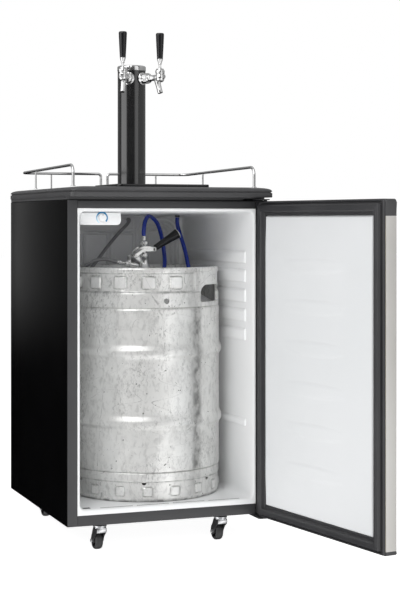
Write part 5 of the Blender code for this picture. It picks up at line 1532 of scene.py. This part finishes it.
# ---------------------------------------------------------------- rear
def build_rear():
    """Ribbed back sheet, wire-on-tube condenser, compressor with its pipes, and fittings."""
    low, high = span("back_panel")
    gas_low, gas_high = span("gas_bulkhead")
    gas = (gas_low + gas_high) / 2
    sheet = box(low.x, high.x, low.y, CAB_D, low.z, high.z, 0.0005, 1)
    ribs = [box(x - 0.008, x + 0.008, CAB_D - 0.001, high.y, 0.310, 0.740, 0.0025)
            for x in (0.110, 0.420)]
    swages = [prism(rounded(low.x + 0.030 + s, high.x - 0.030 - s, z - 0.004, z + 0.004,
                            0.0038), CAB_D - 0.0004, CAB_D + 0.0014, "Y", 0.0010)
              for z, s in ((0.282, 0.02), (0.782, 0.0))]
    hole = turned([(0, 0.5), (0.0072, 0.5), (0.0072, 0.62), (0, 0.62)], 24, "Y",
                  (gas.x, 0, gas.z))
    piece("rear_sheet", join(carve(sheet, hole), *ribs, *swages), DARK_SHEET,
          stands_for="back_panel")

    low, high = span("condenser_coil")
    y, radius = (low.y + high.y) / 2, (high.y - low.y) / 2
    x0, x1 = low.x + radius, high.x - radius
    bottom, pitch, runs = low.z + radius, 0.052, 8
    corners = [(x0, y, bottom)]
    for i in range(runs):
        ends = (x1, x0) if i % 2 == 0 else (x0, x1)
        corners.append((ends[0], y, bottom + pitch * i))
        if i < runs - 1:
            corners.append((ends[0], y, bottom + pitch * (i + 1)))
    tube = sweep(rounded_path(corners, [0.0255] * (len(corners) - 2), 8), radius, 14)
    wires, count = [], 24
    for i in range(count):
        x = x0 + 0.045 + (x1 - x0 - 0.090) * i / (count - 1)
        wires.append(bar((x, y + radius + 0.0002, bottom - 0.012),
                         (x, y + radius + 0.0002, bottom + pitch * (runs - 1) + 0.012),
                         0.0008, steps=8, edge=0.0002))
    piece("wire_condenser", join(tube, *wires), BLACK_STEEL, stands_for="condenser_coil")

    low, high = span("compressor")
    x, y = 0.300, 0.530
    pot = turned([(0, 0.012), (0.030, 0.012), (0.038, 0.015), (0.042, 0.022), (0.044, 0.035),
                  (0.044, 0.074), (0.0450, 0.0755), (0.0458, 0.077), (0.0458, 0.083),
                  (0.0450, 0.0845), (0.044, 0.086), (0.044, 0.116), (0.0425, 0.127),
                  (0.038, 0.138), (0.030, 0.1475), (0.018, 0.1535), (0, 0.155)], 64)
    moved(pot, Matrix.Translation((x, y, 0))
                        @ Matrix.Diagonal((1.45, 1, 1, 1)))
    foot = prism(rounded(x - 0.085, x + 0.085, y - 0.040, y + 0.040, 0.010), 0.0075, 0.0125,
                 bevel=0.001)
    relay = box(x + 0.052, x + 0.088, y - 0.022, y + 0.022, 0.045, 0.095, 0.003)
    piece("compressor_pot", join(pot, foot, relay), BLACK_STEEL, stands_for="compressor")
    mounts = [turned([(0, SHEET + GAP), (0.0085, SHEET + GAP), (0.0090, 0.0040),
                      (0.0070, 0.0072), (0.0070, 0.0135), (0.0055, 0.0150), (0, 0.0150)], 32,
                     centre=(x + dx, y + dy, 0)) for dx in (-0.072, 0.072)
              for dy in (-0.030, 0.030)]
    piece("compressor_feet", join(*mounts), TYRE)
    coil = span("condenser_coil")
    pipes = []
    for points, radii in (
            ([(x - 0.040, y, 0.120), (x - 0.040, y, 0.180), (x - 0.150, y + 0.010, 0.180),
              (x - 0.150, y + 0.010, 0.235)], (0.014, 0.014)),
            ([(x - 0.058, y - 0.010, 0.060), (x - 0.120, y - 0.010, 0.060),
              (x - 0.120, 0.570, 0.060), (x - 0.120, 0.570, 0.150),
              (coil[0].x + 0.006, 0.5800, 0.250), (coil[0].x + 0.0025, 0.5930, 0.318),
              (coil[0].x + 0.0025, 0.5930, 0.338)], (0.014, 0.014, 0.014, 0.030, 0.020))):
        pipes.append(sweep(rounded_path(points, radii, 6), 0.0030, 12))
    piece("copper_pipes", join(*pipes), COPPER)

    centre = (0.475, CAB_D + GAP, 0.295)
    gland = turned([(0, 0), (0.0136, 0), (0.0140, 0.0006), (0.0140, 0.0034),
                    (0.0130, 0.0042), (0.0104, 0.0050), (0.0098, 0.0075), (0.0104, 0.0085),
                    (0.0094, 0.0110), (0.0099, 0.0120), (0.0088, 0.0148), (0.0093, 0.0158),
                    (0.0080, 0.0195), (0.0072, 0.0208), (0.0058, 0.0210), (0.0035, 0.0208),
                    (0.0035, 0.0100), (0, 0.0100)], 40, "Y", centre)
    piece("cord_gland", gland, SMOOTH_PLASTIC, stands_for="power_cord_gland")
    start = gas_low.y
    fitting = turned([(0, 0), (0.0036, 0), (0.0042, 0.0010), (0.0042, 0.0042),
                      (0.0065, 0.0046), (0.0065, 0.0990), (0.0104, 0.0990), (0.0110, 0.0996),
                      (0.0110, 0.1052), (0.0104, 0.1060), (0.0050, 0.1066), (0.0036, 0.1080),
                      (0.0042, 0.1110), (0.0036, 0.1114), (0.0042, 0.1146), (0.0036, 0.1150),
                      (0.0040, 0.1172), (0.0036, gas_high.y - start),
                      (0, gas_high.y - start)], 40, "Y", (gas.x, start, gas.z))
    piece("gas_fitting", fitting, ZINC, stands_for="gas_bulkhead")


build_shell()
build_liner()
build_worktop()
build_rails()
build_tray()
build_evaporator()
build_thermostat()
build_tower()
build_tap("left")
build_tap("right")
build_keg()
build_coupler()
build_door()
build_hinges()
for caster in ("front_left", "front_right", "rear_left", "rear_right"):
    build_caster(caster)
build_rear()
